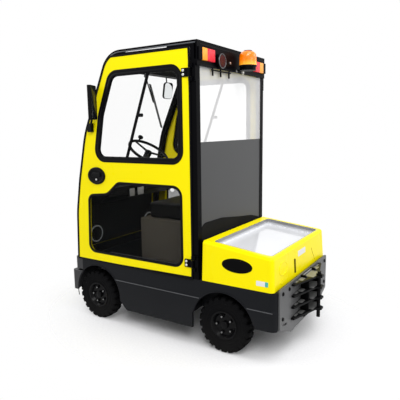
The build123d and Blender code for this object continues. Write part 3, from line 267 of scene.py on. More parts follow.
# Tyres: moulded rubber with chunky lugs in two staggered rows that run down over the
# shoulders, a ribbed sidewall and a bead that sits behind the rim's flange.
tyre_black = (0.0030, 0.0030, 0.0034)
lug_count, cells_per_lug = 22, 20
lug_share, lug_slope, tread_radius = 0.66, 0.0022, 0.2
tyre_half_profile = np.array([
    # offset from the middle, radius, then how far a lug stands out in each direction
    (0.0000, 0.1930, 0.0000, 0.0143),
    (0.0120, 0.1930, 0.0000, 0.0143),
    (0.0240, 0.1928, 0.0000, 0.0143),
    (0.0340, 0.1924, 0.0004, 0.0140),
    (0.0400, 0.1914, 0.0012, 0.0134),
    (0.0440, 0.1890, 0.0022, 0.0118),
    (0.0466, 0.1850, 0.0030, 0.0090),
    (0.0476, 0.1800, 0.0033, 0.0052),
    (0.0482, 0.1745, 0.0027, 0.0020),
    (0.0488, 0.1690, 0.0010, 0.0000),
    (0.0490, 0.1640, 0.0000, 0.0000),
    (0.0502, 0.1622, 0.0000, 0.0000),
    (0.0502, 0.1600, 0.0000, 0.0000),
    (0.0489, 0.1582, 0.0000, 0.0000),
    (0.0486, 0.1480, 0.0000, 0.0000),
    (0.0480, 0.1380, 0.0000, 0.0000),
    (0.0488, 0.1366, 0.0000, 0.0000),
    (0.0474, 0.1350, 0.0000, 0.0000),
    (0.0462, 0.1260, 0.0000, 0.0000),
    (0.0444, 0.1170, 0.0000, 0.0000),
    (0.0424, 0.1100, 0.0000, 0.0000),
    (0.0419, 0.1060, 0.0000, 0.0000),
    (0.0417, 0.1019, 0.0000, 0.0000),
])


def treaded_tyre(centre):
    """Closed section turned about the axle. Each point moves out by its lug height times a
    mask that is 1 on a lug and 0 in the gap, with sloped flanks; the rows are staggered."""
    half = tyre_half_profile
    mirrored = half[1:][::-1] * np.array([-1, 1, -1, 1])
    section = np.concatenate([half, mirrored])
    turns = lug_count * cells_per_lug
    angle = np.linspace(0, 2 * np.pi, turns, endpoint=False)[:, None]
    side_of = np.sign(section[:, 0])[None, :]
    phase = angle * lug_count / (2 * np.pi) + np.where(side_of < 0, 0.5, 0.0)
    from_middle = np.abs(phase % 1 - 0.5)
    pitch_length = 2 * np.pi * tread_radius / lug_count
    lug = np.clip((lug_share / 2 - from_middle) * pitch_length / lug_slope + 0.5, 0, 1)
    across = section[None, :, 0] + lug * section[None, :, 2]
    radius = section[None, :, 1] + lug * section[None, :, 3]
    points = np.stack([
        centre[0] + radius * np.cos(angle),
        centre[1] + across,
        centre[2] + radius * np.sin(angle),
    ], axis=-1)
    return points.reshape(-1, 3), grid_faces(turns, len(section), wrap_rows=True)


tyre_rubber = finish("tyre_rubber", tyre_black, 0.75, mottle=0.25, patch=0.06, grain=0.0015,
                     relief=0.35, dust=0.05, dust_top=0.26, gloss=0.05)
for axle in ("front", "rear"):
    for hand, sign in hands:
        tyre_name, wheel_body = f"tyre_{axle}_{hand}", f"wheel_{axle}_{hand}"
        tyre_centre = np.array(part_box(tyre_name)).mean(axis=0)
        piece(f"{tyre_name}_treaded", [treaded_tyre(tyre_centre)], tyre_rubber, wheel_body,
              sharp=50.0, replaces=(tyre_name,))

# Rims, wheel studs and hub caps: black enamelled discs held by five black nuts, each with
# the bright end of its stud showing, and a small domed cap over the bearing.
rim_black = finish("rim_black", (0.0022, 0.0022, 0.0027), 0.25, coat=0.04, dust=0.015, edge=0.002, gloss=0.07)
bright_zinc = finish("bright_zinc", (0.62, 0.62, 0.60), 0.3, metal=1.0, mottle=0.15, patch=0.01)
stud_steel = finish("stud_steel", (0.20, 0.20, 0.20), 0.35, metal=1.0, mottle=0.3, patch=0.01)
disc_face = 0.022
nut_count, nut_circle, nut_face, stud_radius = 5, 0.062, 0.012, 0.0070
cap_radius, collar_radius = 0.0285, 0.089
valve_radius, valve_rise = 0.004, 0.078


def outline_circle(radius, count=48, ripple=0.0, ripples=0):
    """Points round a circle, whose radius may swell and shrink a whole number of times."""
    turn = np.linspace(0, 2 * np.pi, count, endpoint=False)
    reach = radius * (1 + ripple * np.cos(ripples * turn))
    return np.stack([reach * np.cos(turn), reach * np.sin(turn)], axis=1)


def stacked(outline, levels, origin, u, v, ring=False):
    """Outline laid at each level and drawn in by that level's inset, the levels rising along
    u cross v. Closed by a fan at both ends, or joined last to first where it is a ring."""
    outline = np.asarray(outline, float)
    origin, u, v = np.asarray(origin, float), np.asarray(u, float), np.asarray(v, float)
    w = np.cross(u, v)
    ahead = np.roll(outline, -1, axis=0) - outline
    behind = outline - np.roll(outline, 1, axis=0)
    ahead /= np.linalg.norm(ahead, axis=1)[:, None]
    behind /= np.linalg.norm(behind, axis=1)[:, None]
    mid = ahead + behind
    mid /= np.linalg.norm(mid, axis=1)[:, None]
    inward = np.stack([-mid[:, 1], mid[:, 0]], axis=1)
    inward /= np.maximum(0.5, np.sum(mid * ahead, axis=1))[:, None]
    inset, height = np.asarray(levels, float).T[:, :, None, None]
    drawn = outline + inset * inward
    rings = origin + drawn[..., :1] * u + drawn[..., 1:] * v + height * w
    if ring:
        return rings.reshape(-1, 3), grid_faces(len(levels), len(outline), wrap_rows=True).tolist()
    return capped(rings, rings[0].mean(axis=0), rings[-1].mean(axis=0))


upright = np.array([0.0, 0.0, 1.0])


def looking_out(sign):
    """The two directions along one side of the tug, level and upright, whose cross product
    points out of that side."""
    return np.array([-float(sign), 0.0, 0.0]), upright


for axle in ("front", "rear"):
    for hand, sign in hands:
        wheel_body = f"wheel_{axle}_{hand}"
        hub = np.array(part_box(f"tyre_{axle}_{hand}")).mean(axis=0)
        u, v = looking_out(sign)
        face = hub + np.array([0.0, sign * disc_face, 0.0])
        studs = []
        for nut in range(nut_count):
            turn = math.radians(nut * 360 / nut_count)
            seat = face + nut_circle * (math.cos(turn) * np.array([1.0, 0, 0]) + math.sin(turn) * v)
            studs.append(stacked(outline_circle(stud_radius, 20), [
                (0, nut_face - 0.001), (0, 0.0175), (0.0015, 0.0195), (0.004, 0.0205)], seat, u, v))
        piece(f"wheel_studs_{axle}_{hand}", studs, stud_steel, wheel_body, sharp=40.0)
        cap = stacked(outline_circle(cap_radius), [
            (0, 0), (0, 0.013), (0.001, 0.0165), (0.004, 0.0195), (0.011, 0.0215), (0.019, 0.0222)],
            face, u, v)
        collar = stacked(outline_circle(collar_radius, 72), [
            (0.0, -0.001), (0.0, 0.0012), (0.002, 0.0022), (0.004, 0.0012), (0.004, -0.001)],
            face, u, v, ring=True)
        valve = stacked(outline_circle(valve_radius, 12), [(0, 0), (0, 0.022), (0.001, 0.024)],
                        face + valve_rise * v, u, v)
        piece(f"hub_cap_{axle}_{hand}", [cap, collar, valve], rim_black, wheel_body)
        dress(rim_black, f"rim_{axle}_{hand}")

# Rear plate and its bolts: thick grey painted steel across the back, held by blackened
# hexagon bolts near its upper corners and beside the coupling.
plate_grey = finish("plate_grey", (0.095, 0.096, 0.098), 0.45, dust=0.05, edge=0.003, relief=0.2, gloss=0.3)
dress(plate_grey, "rear_plate")
plate_back_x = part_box("rear_plate")[0][0]
plate_bolt_places = ((0.455, 0.500), (0.340, 0.500), (0.455, 0.320))
washer_radius, bolt_head_radius = 0.015, 0.0105
looking_back = (np.array([0.0, -1.0, 0.0]), upright)
plate_bolts = []
for hand, sign in hands:
    for bolt_y, bolt_z in plate_bolt_places:
        seat = (plate_back_x, sign * bolt_y, bolt_z)
        plate_bolts.append(stacked(outline_circle(washer_radius, 24), [
            (0, 0), (0, 0.002), (0.001, 0.0025)], seat, *looking_back))
        plate_bolts.append(stacked(outline_circle(bolt_head_radius, 6), [
            (0, 0.002), (0, 0.008), (0.0012, 0.009)], seat, *looking_back))
piece("plate_bolts", plate_bolts, black_steel, "chassis", sharp=25.0)

# Rear hood: one moulded cover in gloss yellow. It carries a blank black oval on each side,
# a blank label and sticker, and a moulded ring, an open seam and the lock at the back.
yellow = (1.0, 0.84, 0.0)
yellow_paint = finish("yellow_paint", yellow, 0.28, coat=0.04, mottle=0.02, patch=0.6, relief=0.03,
                      grain=0.006, edge=0.003, gloss=0.08)
badge_black = finish("badge_black", (0.0008, 0.0008, 0.001), 0.25, coat=0.03, mottle=0.05, gloss=0.04)
seam_brown = finish("seam_brown", (0.35, 0.22, 0.0), 0.5, mottle=0.1, relief=0.1, gloss=0.1)
label_white = finish("label_white", (0.78, 0.78, 0.76), 0.5, mottle=0.03, relief=0.02)
sticker_teal = finish("sticker_teal", (0.05, 0.42, 0.40), 0.45, mottle=0.1, patch=0.02)
dress(yellow_paint, "hood", "front_panel", "door_left", "door_right")
hood_draft = math.radians(3.2)
hood_foot_z = 0.5223
hood_half_width = 0.544
hood_back_x = rear_x - 0.389
film = 0.0006


def hood_side(sign, x, z):
    """A place on the hood's drafted side: its point and the two directions along it."""
    y = hood_half_width - (z - hood_foot_z) * math.tan(hood_draft)
    u = np.array([-float(sign), 0.0, 0.0])
    v = np.array([0.0, -sign * math.sin(hood_draft), math.cos(hood_draft)])
    return (rear_x + x, sign * y, z), u, v


def hood_back(y, z):
    """A place on the hood's drafted back: its point and the two directions along it."""
    x = hood_back_x + (z - hood_foot_z) * math.tan(hood_draft)
    u, v = np.array([0.0, -1.0, 0.0]), np.array([math.sin(hood_draft), 0.0, math.cos(hood_draft)])
    return (x, y, z), u, v


def rounded_outline(corners, radii, steps=8):
    """Outline through corners given anticlockwise, each turned by an arc of its own radius:
    the arc starts and ends where the circle touches the two sides."""
    corners = np.asarray(corners, float)
    radii = np.broadcast_to(radii, len(corners))
    points = []
    for before, corner, after, radius in zip(np.roll(corners, 1, 0), corners, np.roll(corners, -1, 0), radii):
        a, b = before - corner, after - corner
        a, b = a / np.linalg.norm(a), b / np.linalg.norm(b)
        half = math.acos(np.clip(a @ b, -1, 1)) / 2
        middle = corner + (a + b) / np.linalg.norm(a + b) * radius / math.sin(half)
        start, end = corner + a * radius / math.tan(half), corner + b * radius / math.tan(half)
        first = math.atan2(*(start - middle)[::-1])
        swing = (math.atan2(*(end - middle)[::-1]) - first + math.pi) % (2 * math.pi) - math.pi
        turn = first + swing * np.linspace(0, 1, steps)
        points.append(middle + radius * np.stack([np.cos(turn), np.sin(turn)], axis=1))
    return np.concatenate(points)


def rounded_rectangle(width, height, radius, steps=6):
    """Rounded rectangle about its own middle."""
    w, h = width / 2, height / 2
    return rounded_outline([(-w, -h), (w, -h), (w, h), (-w, h)], radius, steps)


badge_outline = outline_circle(1.0, 64) * np.array([0.1185, 0.05])
badge_x, badge_z = -0.112, 0.671
badge_band = [(0, -0.002), (0, 0.0016), (0.002, 0.0024), (0.006, 0.0024), (0.008, 0.0016), (0.012, 0.0016)]
for hand, sign in hands:
    badge = stacked(badge_outline, badge_band, *hood_side(sign, badge_x, badge_z))
    piece(f"hood_badge_{hand}", [badge], badge_black, "hood")
sticker_x, sticker_band_x, sticker_z = -0.3055, -0.338, 0.577
sticker = stacked(rounded_rectangle(0.088, 0.034, 0.004), [(0, -film), (0, film)],
                  *hood_side(1, sticker_x, sticker_z))
piece("hood_sticker", [sticker], label_white, "hood")
sticker_band = stacked(rounded_rectangle(0.022, 0.0335, 0.004), [(0, 0), (0, 2 * film)],
                       *hood_side(1, sticker_band_x, sticker_z))
piece("hood_sticker_band", [sticker_band], sticker_teal, "hood")
label_y, label_z = -0.0095, 0.6805
label = stacked(rounded_rectangle(0.159, 0.043, 0.003), [(0, -film), (0, film)], *hood_back(label_y, label_z))
piece("hood_label", [label], label_white, "hood")
ring_y, ring_z = 0.360, 0.648
moulded_ring = stacked(outline_circle(0.060, 72) * np.array([1.25, 0.8]), [
    (0, -0.001), (0.0008, 0.0018), (0.003, 0.0026), (0.0052, 0.0018), (0.006, -0.001)],
    *hood_back(ring_y, ring_z), ring=True)
plug_y, plug_z = 0.392, 0.561
moulded_plug = stacked(outline_circle(1.0, 40) * np.array([0.026, 0.016]), [
    (0, -0.001), (0.0005, 0.0015), (0.003, 0.002), (0.006, 0.001)], *hood_back(plug_y, plug_z))
piece("hood_mouldings", [moulded_ring, moulded_plug], yellow_paint, "hood")
seam_top, seam_foot, seam_radius = (-0.225, 0.660), (-0.301, 0.544), 0.0016
seam_path = np.array([hood_back(y, z)[0] for y, z in np.linspace(seam_top, seam_foot, 12)])
piece("hood_seam", [tube(seam_path, seam_radius)], seam_brown, "hood")
lock_y, lock_z = 0.140, 0.6095
lock_frame = stacked(rounded_rectangle(0.026, 0.104, 0.008), [
    (0, -0.001), (0, 0.002), (0.0015, 0.003), (0.005, 0.003), (0.0062, -0.001)],
    *hood_back(lock_y, lock_z), ring=True)
lock_tongue = stacked(rounded_rectangle(0.008, 0.080, 0.003), [(0, -0.006), (0, -0.002), (0.001, -0.001)],
                      *hood_back(lock_y, lock_z))
piece("hood_lock", [lock_frame, lock_tongue], badge_black, "hood")

# Coupling: four black plates stand out from the back, with pale steel patches on their tops.
# A grey sheet shows between them, up to the two uprights, painted paler than the rear plate as light in the
# gaps.
pale_patch_steel = finish("pale_patch_steel", (0.27, 0.27, 0.265), 0.4, metal=0.6, mottle=0.4, patch=0.02, relief=0.4,
                    grain=0.002)
backing_light_grey = finish("backing_light_grey", (0.38, 0.38, 0.385), 0.45, dust=0.05, mottle=0.2, patch=0.04,
                      relief=0.2, gloss=0.3)
lying_flat = (np.array([1.0, 0.0, 0.0]), np.array([0.0, 1.0, 0.0]))
tongue_count, tongue_low_z, tongue_pitch, tongue_thickness = 4, 0.260, 0.083, 0.014
tongue_root_x, patch_corner = rear_x - 0.421, 0.010
backing_x, backing_half, top_backing_height = rear_x - 0.431, 0.0975, 0.014
patch_table = (
    # middle across, start and reach behind the plate, half width
    (0.0, 0.016, 0.070, 0.080),
    (0.158, 0.006, 0.036, 0.036),
    (-0.158, 0.006, 0.036, 0.036),
    (0.231, 0.004, 0.016, 0.030),
    (-0.231, 0.004, 0.016, 0.030),
)
patches, backings = [], []
for tongue in range(tongue_count):
    top_z = tongue_low_z + tongue * tongue_pitch + tongue_thickness
    for patch_y, patch_start, patch_reach, patch_half in patch_table:
        patch_outline = rounded_rectangle(patch_reach, 2 * patch_half, patch_corner)
        patch_x = tongue_root_x - patch_start - patch_reach / 2
        patches.append(stacked(patch_outline, [(0, -0.0004), (0, 0.0003)],
                               (patch_x, patch_y, top_z), *lying_flat))
    gap_height = tongue_pitch - tongue_thickness if tongue < tongue_count - 1 else top_backing_height
    backing_outline = rounded_rectangle(2 * backing_half, gap_height - 0.002, 0.002)
    backings.append(stacked(backing_outline, [(0, -0.0005), (0, 0.0006)],
                            (backing_x, 0, top_z + gap_height / 2), *looking_back))
piece("coupling_pale_tops", patches, pale_patch_steel, "chassis")
piece("coupling_backing", backings, backing_light_grey, "chassis")


# Tray: a pale glossy moulding let into the hood, open above, for parcels and tools. Its
# walls carry painted shade, a darker grey above the floor, which falls back with the hood.
def tint_by_height(material, colour, clear_z, full_z, fall=0.0):
    """Mixes a colour over a finish, by a share that runs from 0 at the height clear_z to 1 at
    full_z. Both heights are those at the tug's middle, and rise forward by fall."""
    tree = material.node_tree
    new, link = tree.nodes.new, tree.links.new
    place, axes = new("ShaderNodeTexCoord"), new("ShaderNodeSeparateXYZ")
    slope, rise = new("ShaderNodeMath"), new("ShaderNodeMath")
    slope.operation, rise.operation = "MULTIPLY", "SUBTRACT"
    give(slope, {1: fall})
    link(place.outputs["Object"], axes.inputs[0])
    link(axes.outputs["X"], slope.inputs[0])
    link(axes.outputs["Z"], rise.inputs[0])
    link(slope.outputs[0], rise.inputs[1])
    share, blend = new("ShaderNodeMapRange"), new("ShaderNodeMix")
    give(share, {"From Min": clear_z, "From Max": full_z})
    link(rise.outputs[0], share.inputs["Value"])
    blend.data_type = "RGBA"
    shown = tree.nodes["Principled BSDF"].inputs["Base Color"]
    link(share.outputs["Result"], blend.inputs[0])
    link(shown.links[0].from_socket, blend.inputs[6])
    give(blend, {7: (*colour, 1)})
    link(blend.outputs[2], shown)


tray_plastic = finish("tray_plastic", (0.80, 0.81, 0.84), 0.14, coat=0.5, mottle=0.04, patch=0.2, relief=0.03)
# darker grey on the tray's walls: painted shade
wall_shade_grey = (0.20, 0.20, 0.21)
tray_fall, tray_wall_foot, tray_wall_blend = 0.1115, 0.004, 0.028
tray_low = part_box("tray")[0]
wall_foot_z = tray_low[2] - tray_fall * tray_low[0] + tray_wall_foot
tint_by_height(tray_plastic, wall_shade_grey, wall_foot_z, wall_foot_z + tray_wall_blend, tray_fall)
dress(tray_plastic, "tray")

# Cab frame and roof: welded steel rings, one bent roof sheet and the lamp header across its
# back, under satin black paint. The CAD solids keep their shapes here.
frame_black = finish("frame_black", (0.0018, 0.0018, 0.0026), 0.3, coat=0.02, mottle=0.12, edge=0.001,
                     relief=0.1, gloss=0.025)
dress(frame_black, "cab_frame", "roof", "lamp_header")

# Cab back: a sheet below the window, its dark grey a painted reflection of the white surround
# in black gloss, and a black low hump at its foot where it meets the hood, a painted reflection of the hood.
panel_grey = finish("panel_grey", (0.060, 0.061, 0.063), 0.40, mottle=0.1, patch=0.8, relief=0.08, gloss=0.2)
reflection_and_shade_black = finish("reflection_and_shade_black", (0.005, 0.005, 0.0055), 0.8, relief=0.4, grain=0.004, gloss=0.1)
dress(panel_grey, "rear_panel")
panel_low, panel_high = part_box("rear_panel")
reflection_half = panel_high[1] - 0.002
reflection_outline = rounded_outline([
    # along -Y, height
    (-reflection_half, 0.530), (reflection_half, 0.530), (reflection_half, 0.815), (0.330, 0.858), (0.100, 0.884),
    (-0.190, 0.924), (-0.450, 0.928), (-reflection_half, 0.900)],
    [0.004, 0.004, 0.02, 0.2, 0.3, 0.2, 0.1, 0.03])
panel_reflection = stacked(reflection_outline, [(0, 0), (0, 0.003), (0.002, 0.0045)], (panel_low[0], 0, 0), *looking_back)
piece("panel_painted_reflection", [panel_reflection], reflection_and_shade_black, "chassis")

# Drip rails and edge strips: a rolled gutter follows each side of the roof sheet, its grey paler
# than the roof as a painted highlight, and below it a near-white strip over the joint above the door is a
# painted highlight.
strip_highlight_white = finish("highlight_strip", (0.92, 0.92, 0.93), 0.25, metal=0.6, mottle=0.03, relief=0.02)
roof_low, roof_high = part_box("roof")
gutter_radius, gutter_drop, bend_radius, bend_start = 0.0045, 0.018, 0.200, 0.875
straight_points, bend_points = 20, 12
straight_x = np.linspace(roof_low[0] + 0.004, rear_x + bend_start, straight_points)
straight_z = np.full(straight_points, roof_high[2] - gutter_drop)
bend = np.radians(np.linspace(88.0, 40.0, bend_points))
bend_x = rear_x + bend_start + (bend_radius - gutter_drop) * np.cos(bend)
bend_z = roof_high[2] - bend_radius + (bend_radius - gutter_drop) * np.sin(bend)
strip_rows = (
    # from the rear axle, height, radius
    (0.434, 2.1755, 0.003),
    (0.812, 2.1795, 0.003),
    (0.806, 2.1905, 0.003),
    (0.436, 2.1880, 0.003),
)


def on_side(sign, y, rows, steps=12):
    """A rounded outline on one side of the tug, from rows of distance from the rear axle,
    height and corner radius, with its origin and the two directions that it is drawn along."""
    if sign > 0:
        rows = rows[::-1]
    corners, radii = [(-sign * x, z) for x, z, radius in rows], [row[2] for row in rows]
    return rounded_outline(corners, radii, steps), (rear_x, sign * y, 0.0), *looking_out(sign)


gutters, strips = [], []
for hand, sign in hands:
    gutter_path = np.stack([
        np.concatenate([straight_x, bend_x]),
        np.full(straight_points + bend_points, sign * (roof_high[1] + 0.002)),
        np.concatenate([straight_z, bend_z]),
    ], axis=1)
    gutters.append(tube(gutter_path, gutter_radius))
    outline, origin, u, v = on_side(sign, roof_high[1] + 0.001, strip_rows)
    strips.append(stacked(outline, [(0, -0.006), (0, 0.0005), (0.0015, 0.0015)], origin, u, v))
# grey paler than the black roof: a painted highlight along the roof's edge
rail_highlight_grey = finish("rail_highlight_grey", (0.075, 0.080, 0.090), 0.35, coat=0.1, mottle=0.2, patch=0.1, relief=0.1,
                   gloss=0.3)
piece("drip_rails", gutters, rail_highlight_grey, "chassis")
piece("roof_edge_strips", strips, strip_highlight_white, "chassis")

# Window gaskets: one rubber moulding round each upper door window, with a lip over the
# door's skin and a groove for the locking strip. A leaning bar and a catch part the panes.
seal_rubber = finish("seal_rubber", (0.0022, 0.0022, 0.0028), 0.5, mottle=0.15, patch=0.05, relief=0.2,
                     gloss=0.07)
gasket_section = [
    # inset from the outline, height over the door's skin
    (0.0006, -0.0190), (0.0006, 0.0010), (0.0022, 0.0026), (0.0060, 0.0030),
    (0.0180, 0.0029), (0.0205, 0.0012), (0.0235, 0.0012), (0.0260, 0.0029),
    (0.0380, 0.0026), (0.0440, 0.0008), (0.0467, -0.0040), (0.0467, -0.0190),
]
window_rows = (
    # from the rear axle, height, radius
    (0.305, 1.355, 0.100),
    (1.190, 1.355, 0.100),
    (1.117, 1.73564, 0.300),
    (0.985, 2.060, 0.110),
    (0.305, 2.060, 0.100),
)
divider_top, divider_foot, divider_half = np.array([0.604, 2.021]), np.array([0.836, 1.394]), 0.0125
catch_x, catch_z = rear_x + 0.687, 1.716
door_skin_y = 0.553
for hand, sign in hands:
    seal_name, door_body = f"window_seal_{hand}", f"door_{hand}"
    outline, origin, u, v = on_side(sign, door_skin_y, window_rows)
    gasket = stacked(outline, gasket_section, origin, u, v, ring=True)
    divider_length = np.linalg.norm(divider_top - divider_foot)
    along, middle = (divider_top - divider_foot) / divider_length, (divider_foot + divider_top) / 2
    bar_u = np.array([along[1], 0.0, -along[0]]) * (-sign)
    bar_v = np.array([along[0], 0.0, along[1]])
    divider = stacked(rounded_rectangle(2 * divider_half, divider_length, 0.002), [
        (0, -0.0074), (0, -0.002), (0.002, -0.0008), (0.007, -0.0004)],
        (rear_x + middle[0], sign * door_skin_y, middle[1]), bar_u, bar_v)
    catch = stacked(rounded_rectangle(0.046, 0.026, 0.010), [(0, -0.0074), (0, 0.004), (0.003, 0.008)],
                    (catch_x, sign * door_skin_y, catch_z), u, v)
    piece(f"{seal_name}_moulded", [gasket, divider, catch], seal_rubber, door_body,
          sharp=40.0, replaces=(seal_name,))

# Door edging: a rubber channel pushed over the edge of each door's skin all round, and a
# wiping strip along its foot that widens towards the hinges.
edging_section = [
    # inset from the door's edge, height over its skin
    (-0.0020, -0.0050), (-0.0020, 0.0010), (-0.0010, 0.0022), (0.0110, 0.0022), (0.0125, 0.0008),
    (0.0125, -0.0010),
]
foot_strip_rows = (
    # from the rear axle, height, radius
    (0.250, 0.5155, 0.001),
    (1.396, 0.5155, 0.001),
    (1.396, 0.5200, 0.001),
    (0.250, 0.5390, 0.001),
)
edging_points = 260


def mesh_points(mesh):
    """All the points of a mesh, one row for each."""
    points = np.empty(len(mesh.vertices) * 3)
    mesh.vertices.foreach_get("co", points)
    return points.reshape(-1, 3)


for hand, sign in hands:
    skin_points = mesh_points(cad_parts[f"door_{hand}"].data)
    skin_points = skin_points[np.abs(skin_points[:, 1] - sign * door_skin_y) < 1e-5]
    flat_points = np.stack([-sign * skin_points[:, 0], skin_points[:, 2]], axis=1)
    edge = flat_points[mathutils.geometry.convex_hull_2d([tuple(point) for point in flat_points])]
    closed_edge = np.concatenate([edge, edge[:1]])
    run = np.concatenate([[0], np.cumsum(np.linalg.norm(np.diff(closed_edge, axis=0), axis=1))])
    walk = np.linspace(0, run[-1], edging_points, endpoint=False)
    even_edge = np.stack([np.interp(walk, run, closed_edge[:, axis]) for axis in (0, 1)], axis=1)
    edging = stacked(even_edge, edging_section, (0.0, sign * door_skin_y, 0.0), *looking_out(sign), ring=True)
    outline, origin, u, v = on_side(sign, door_skin_y, foot_strip_rows)
    foot_strip = stacked(outline, [(0, -0.001), (0, 0.0020), (0.001, 0.0028)], origin, u, v)
    piece(f"door_edging_{hand}", [edging, foot_strip], seal_rubber, f"door_{hand}", sharp=40.0)

# Lower pane moulding: a flat rubber lip round each lower pane, laid over the edge of the
# opening. It steps down behind the door handle.
pane_rows = (
    # from the rear axle, height, radius
    (0.325, 0.595, 0.080),
    (1.290, 0.595, 0.070),
    (1.268, 1.082, 0.062),
    (1.058, 1.102, 0.110),
    (0.940, 1.200, 0.080),
    (0.325, 1.200, 0.080),
)
lip_section = [
    # inset from the opening's edge, height over the door's skin
    (-0.0045, -0.0010), (-0.0045, 0.0008), (-0.0030, 0.0020), (0.0120, 0.0020), (0.0165, 0.0005),
    (0.0170, -0.0038),
]
for hand, sign in hands:
    outline, origin, u, v = on_side(sign, door_skin_y, pane_rows)
    lip = stacked(outline, lip_section, origin, u, v, ring=True)
    piece(f"pane_lip_{hand}", [lip], seal_rubber, f"door_{hand}", sharp=40.0)


# Glass: laminated windscreen, clear upper and tinted lower door panes with a white plug in
# each, and a milky polycarbonate rear window. The panes stay the CAD's thin solids.
def pane(name, colour, opacity, rough, gloss, tinted=None, tinted_opacity=0.0, change_z=0.0):
    """See-through finish: a coloured film of the given opacity under a glossy surface. The
    tinted values take over below change_z, and faint streaks vary how much it hides."""
    made, new, link, shader, place = blank_material(name)
    streaks, veil = new("ShaderNodeTexNoise"), new("ShaderNodeMapRange")
    give(streaks, {"Scale": 3.0, "Detail": 3.0})
    link(place, streaks.inputs["Vector"])
    link(streaks.outputs["Fac"], veil.inputs["Value"])
    give(veil, {"To Min": opacity * 0.8, "To Max": opacity * 1.2})
    shown = veil.outputs["Result"]
    give(shader, {"Base Color": (*colour, 1), "Roughness": rough, "Specular IOR Level": gloss})
    if tinted:
        height, low = new("ShaderNodeSeparateXYZ"), new("ShaderNodeMath")
        low.operation = "LESS_THAN"
        give(low, {1: change_z})
        link(place, height.inputs[0])
        link(height.outputs["Z"], low.inputs[0])
        hue, dense = new("ShaderNodeMix"), new("ShaderNodeMix")
        hue.data_type = "RGBA"
        give(hue, {6: (*colour, 1), 7: (*tinted, 1)})
        link(low.outputs[0], hue.inputs[0])
        link(hue.outputs[2], shader.inputs["Base Color"])
        link(low.outputs[0], dense.inputs[0])
        link(shown, dense.inputs[2])
        give(dense, {3: tinted_opacity})
        shown = dense.outputs[0]
    link(shown, shader.inputs["Alpha"])
    return made


film_grey, tint_black, tint_top_z = (0.10, 0.12, 0.12), (0.002, 0.0022, 0.0024), 1.28
dress(pane("clear_glass", film_grey, 0.01, 0.04, 0.2), "windscreen")
dress(pane("door_glass", film_grey, 0.01, 0.04, 0.06, tint_black, 0.28, tint_top_z),
      "door_glass_left", "door_glass_right")
plug_white = finish("plug_white", (0.85, 0.85, 0.85), 0.4, mottle=0.03, relief=0.02)
plug_outline = outline_circle(1.0, 32) * np.array([0.017, 0.0135])
pane_plug_x, pane_plug_z = rear_x + 0.411, 1.171
for hand, sign in hands:
    glass_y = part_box(f"door_glass_{hand}")[1 if sign > 0 else 0][1]
    plug = stacked(plug_outline, [(0, -0.001), (0, 0.002), (0.002, 0.003)],
                   (pane_plug_x, glass_y, pane_plug_z), *looking_out(sign))
    piece(f"pane_plug_{hand}", [plug], plug_white, f"door_{hand}")
dress(pane("milky_glass", (0.96, 0.96, 0.97), 0.36, 0.25, 0.3), "rear_window")


# Tail lamps: ribbed amber and red lenses in one row on the header, at both ends of the cab's
# back. Each lens is a moulded box with a rounded face.
def lens(name, colour, rib_size, glow=0.0, rough=0.18, coat=0.15, gloss=0.25):
    """Moulded lens: even colour under a clear coat, with ribs from a sine of the width."""
    made = finish(name, colour, rough, coat=coat, mottle=0.06, patch=0.03, gloss=gloss)
    tree = made.node_tree
    ribs, place = tree.nodes.new("ShaderNodeTexWave"), tree.nodes.new("ShaderNodeTexCoord")
    ribs.bands_direction = "Y"
    give(ribs, {"Scale": 0.314 / rib_size})
    lift = next(node for node in tree.nodes if node.type == "BUMP")
    give(lift, {"Strength": 0.5, "Distance": 0.002})
    tree.links.new(place.outputs["Object"], ribs.inputs["Vector"])
    tree.links.new(ribs.outputs["Fac"], lift.inputs["Height"])
    give(tree.nodes["Principled BSDF"], {"Emission Color": (*colour, 1), "Emission Strength": glow})
    return made


amber_lens = lens("amber_lens", (1.0, 0.36, 0.02), 0.006, 0.08)
red_lens = lens("red_lens", (0.80, 0.012, 0.03), 0.006, 0.06)
red_low, red_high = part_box("red_lamps")
lamp_face_x, lamp_seat_x, tail_low_z, tail_high_z = red_low[0], red_high[0], red_low[2], red_high[2]
tail_depth = lamp_seat_x - lamp_face_x
tail_table = (
    # node, inner edge, outer edge, material
    ("red_lamps", 0.325, 0.4287, red_lens, "red_lens"),
    ("amber_lamps", 0.4293, 0.4987, amber_lens, "amber_lens"),
)
for node_name, inner_y, outer_y, material, slot_name in tail_table:
    lenses = []
    for hand, sign in hands:
        lens_outline = rounded_rectangle(outer_y - inner_y, tail_high_z - tail_low_z, 0.006)
        lens_seat = (lamp_seat_x, sign * (inner_y + outer_y) / 2, (tail_low_z + tail_high_z) / 2)
        lenses.append(stacked(lens_outline, [
            (0, 0), (0, tail_depth * 0.7), (0.0012, tail_depth * 0.9), (0.004, tail_depth)],
            lens_seat, *looking_back))
    piece(f"{node_name}_ribbed", lenses, material, "chassis", replaces=(node_name,))

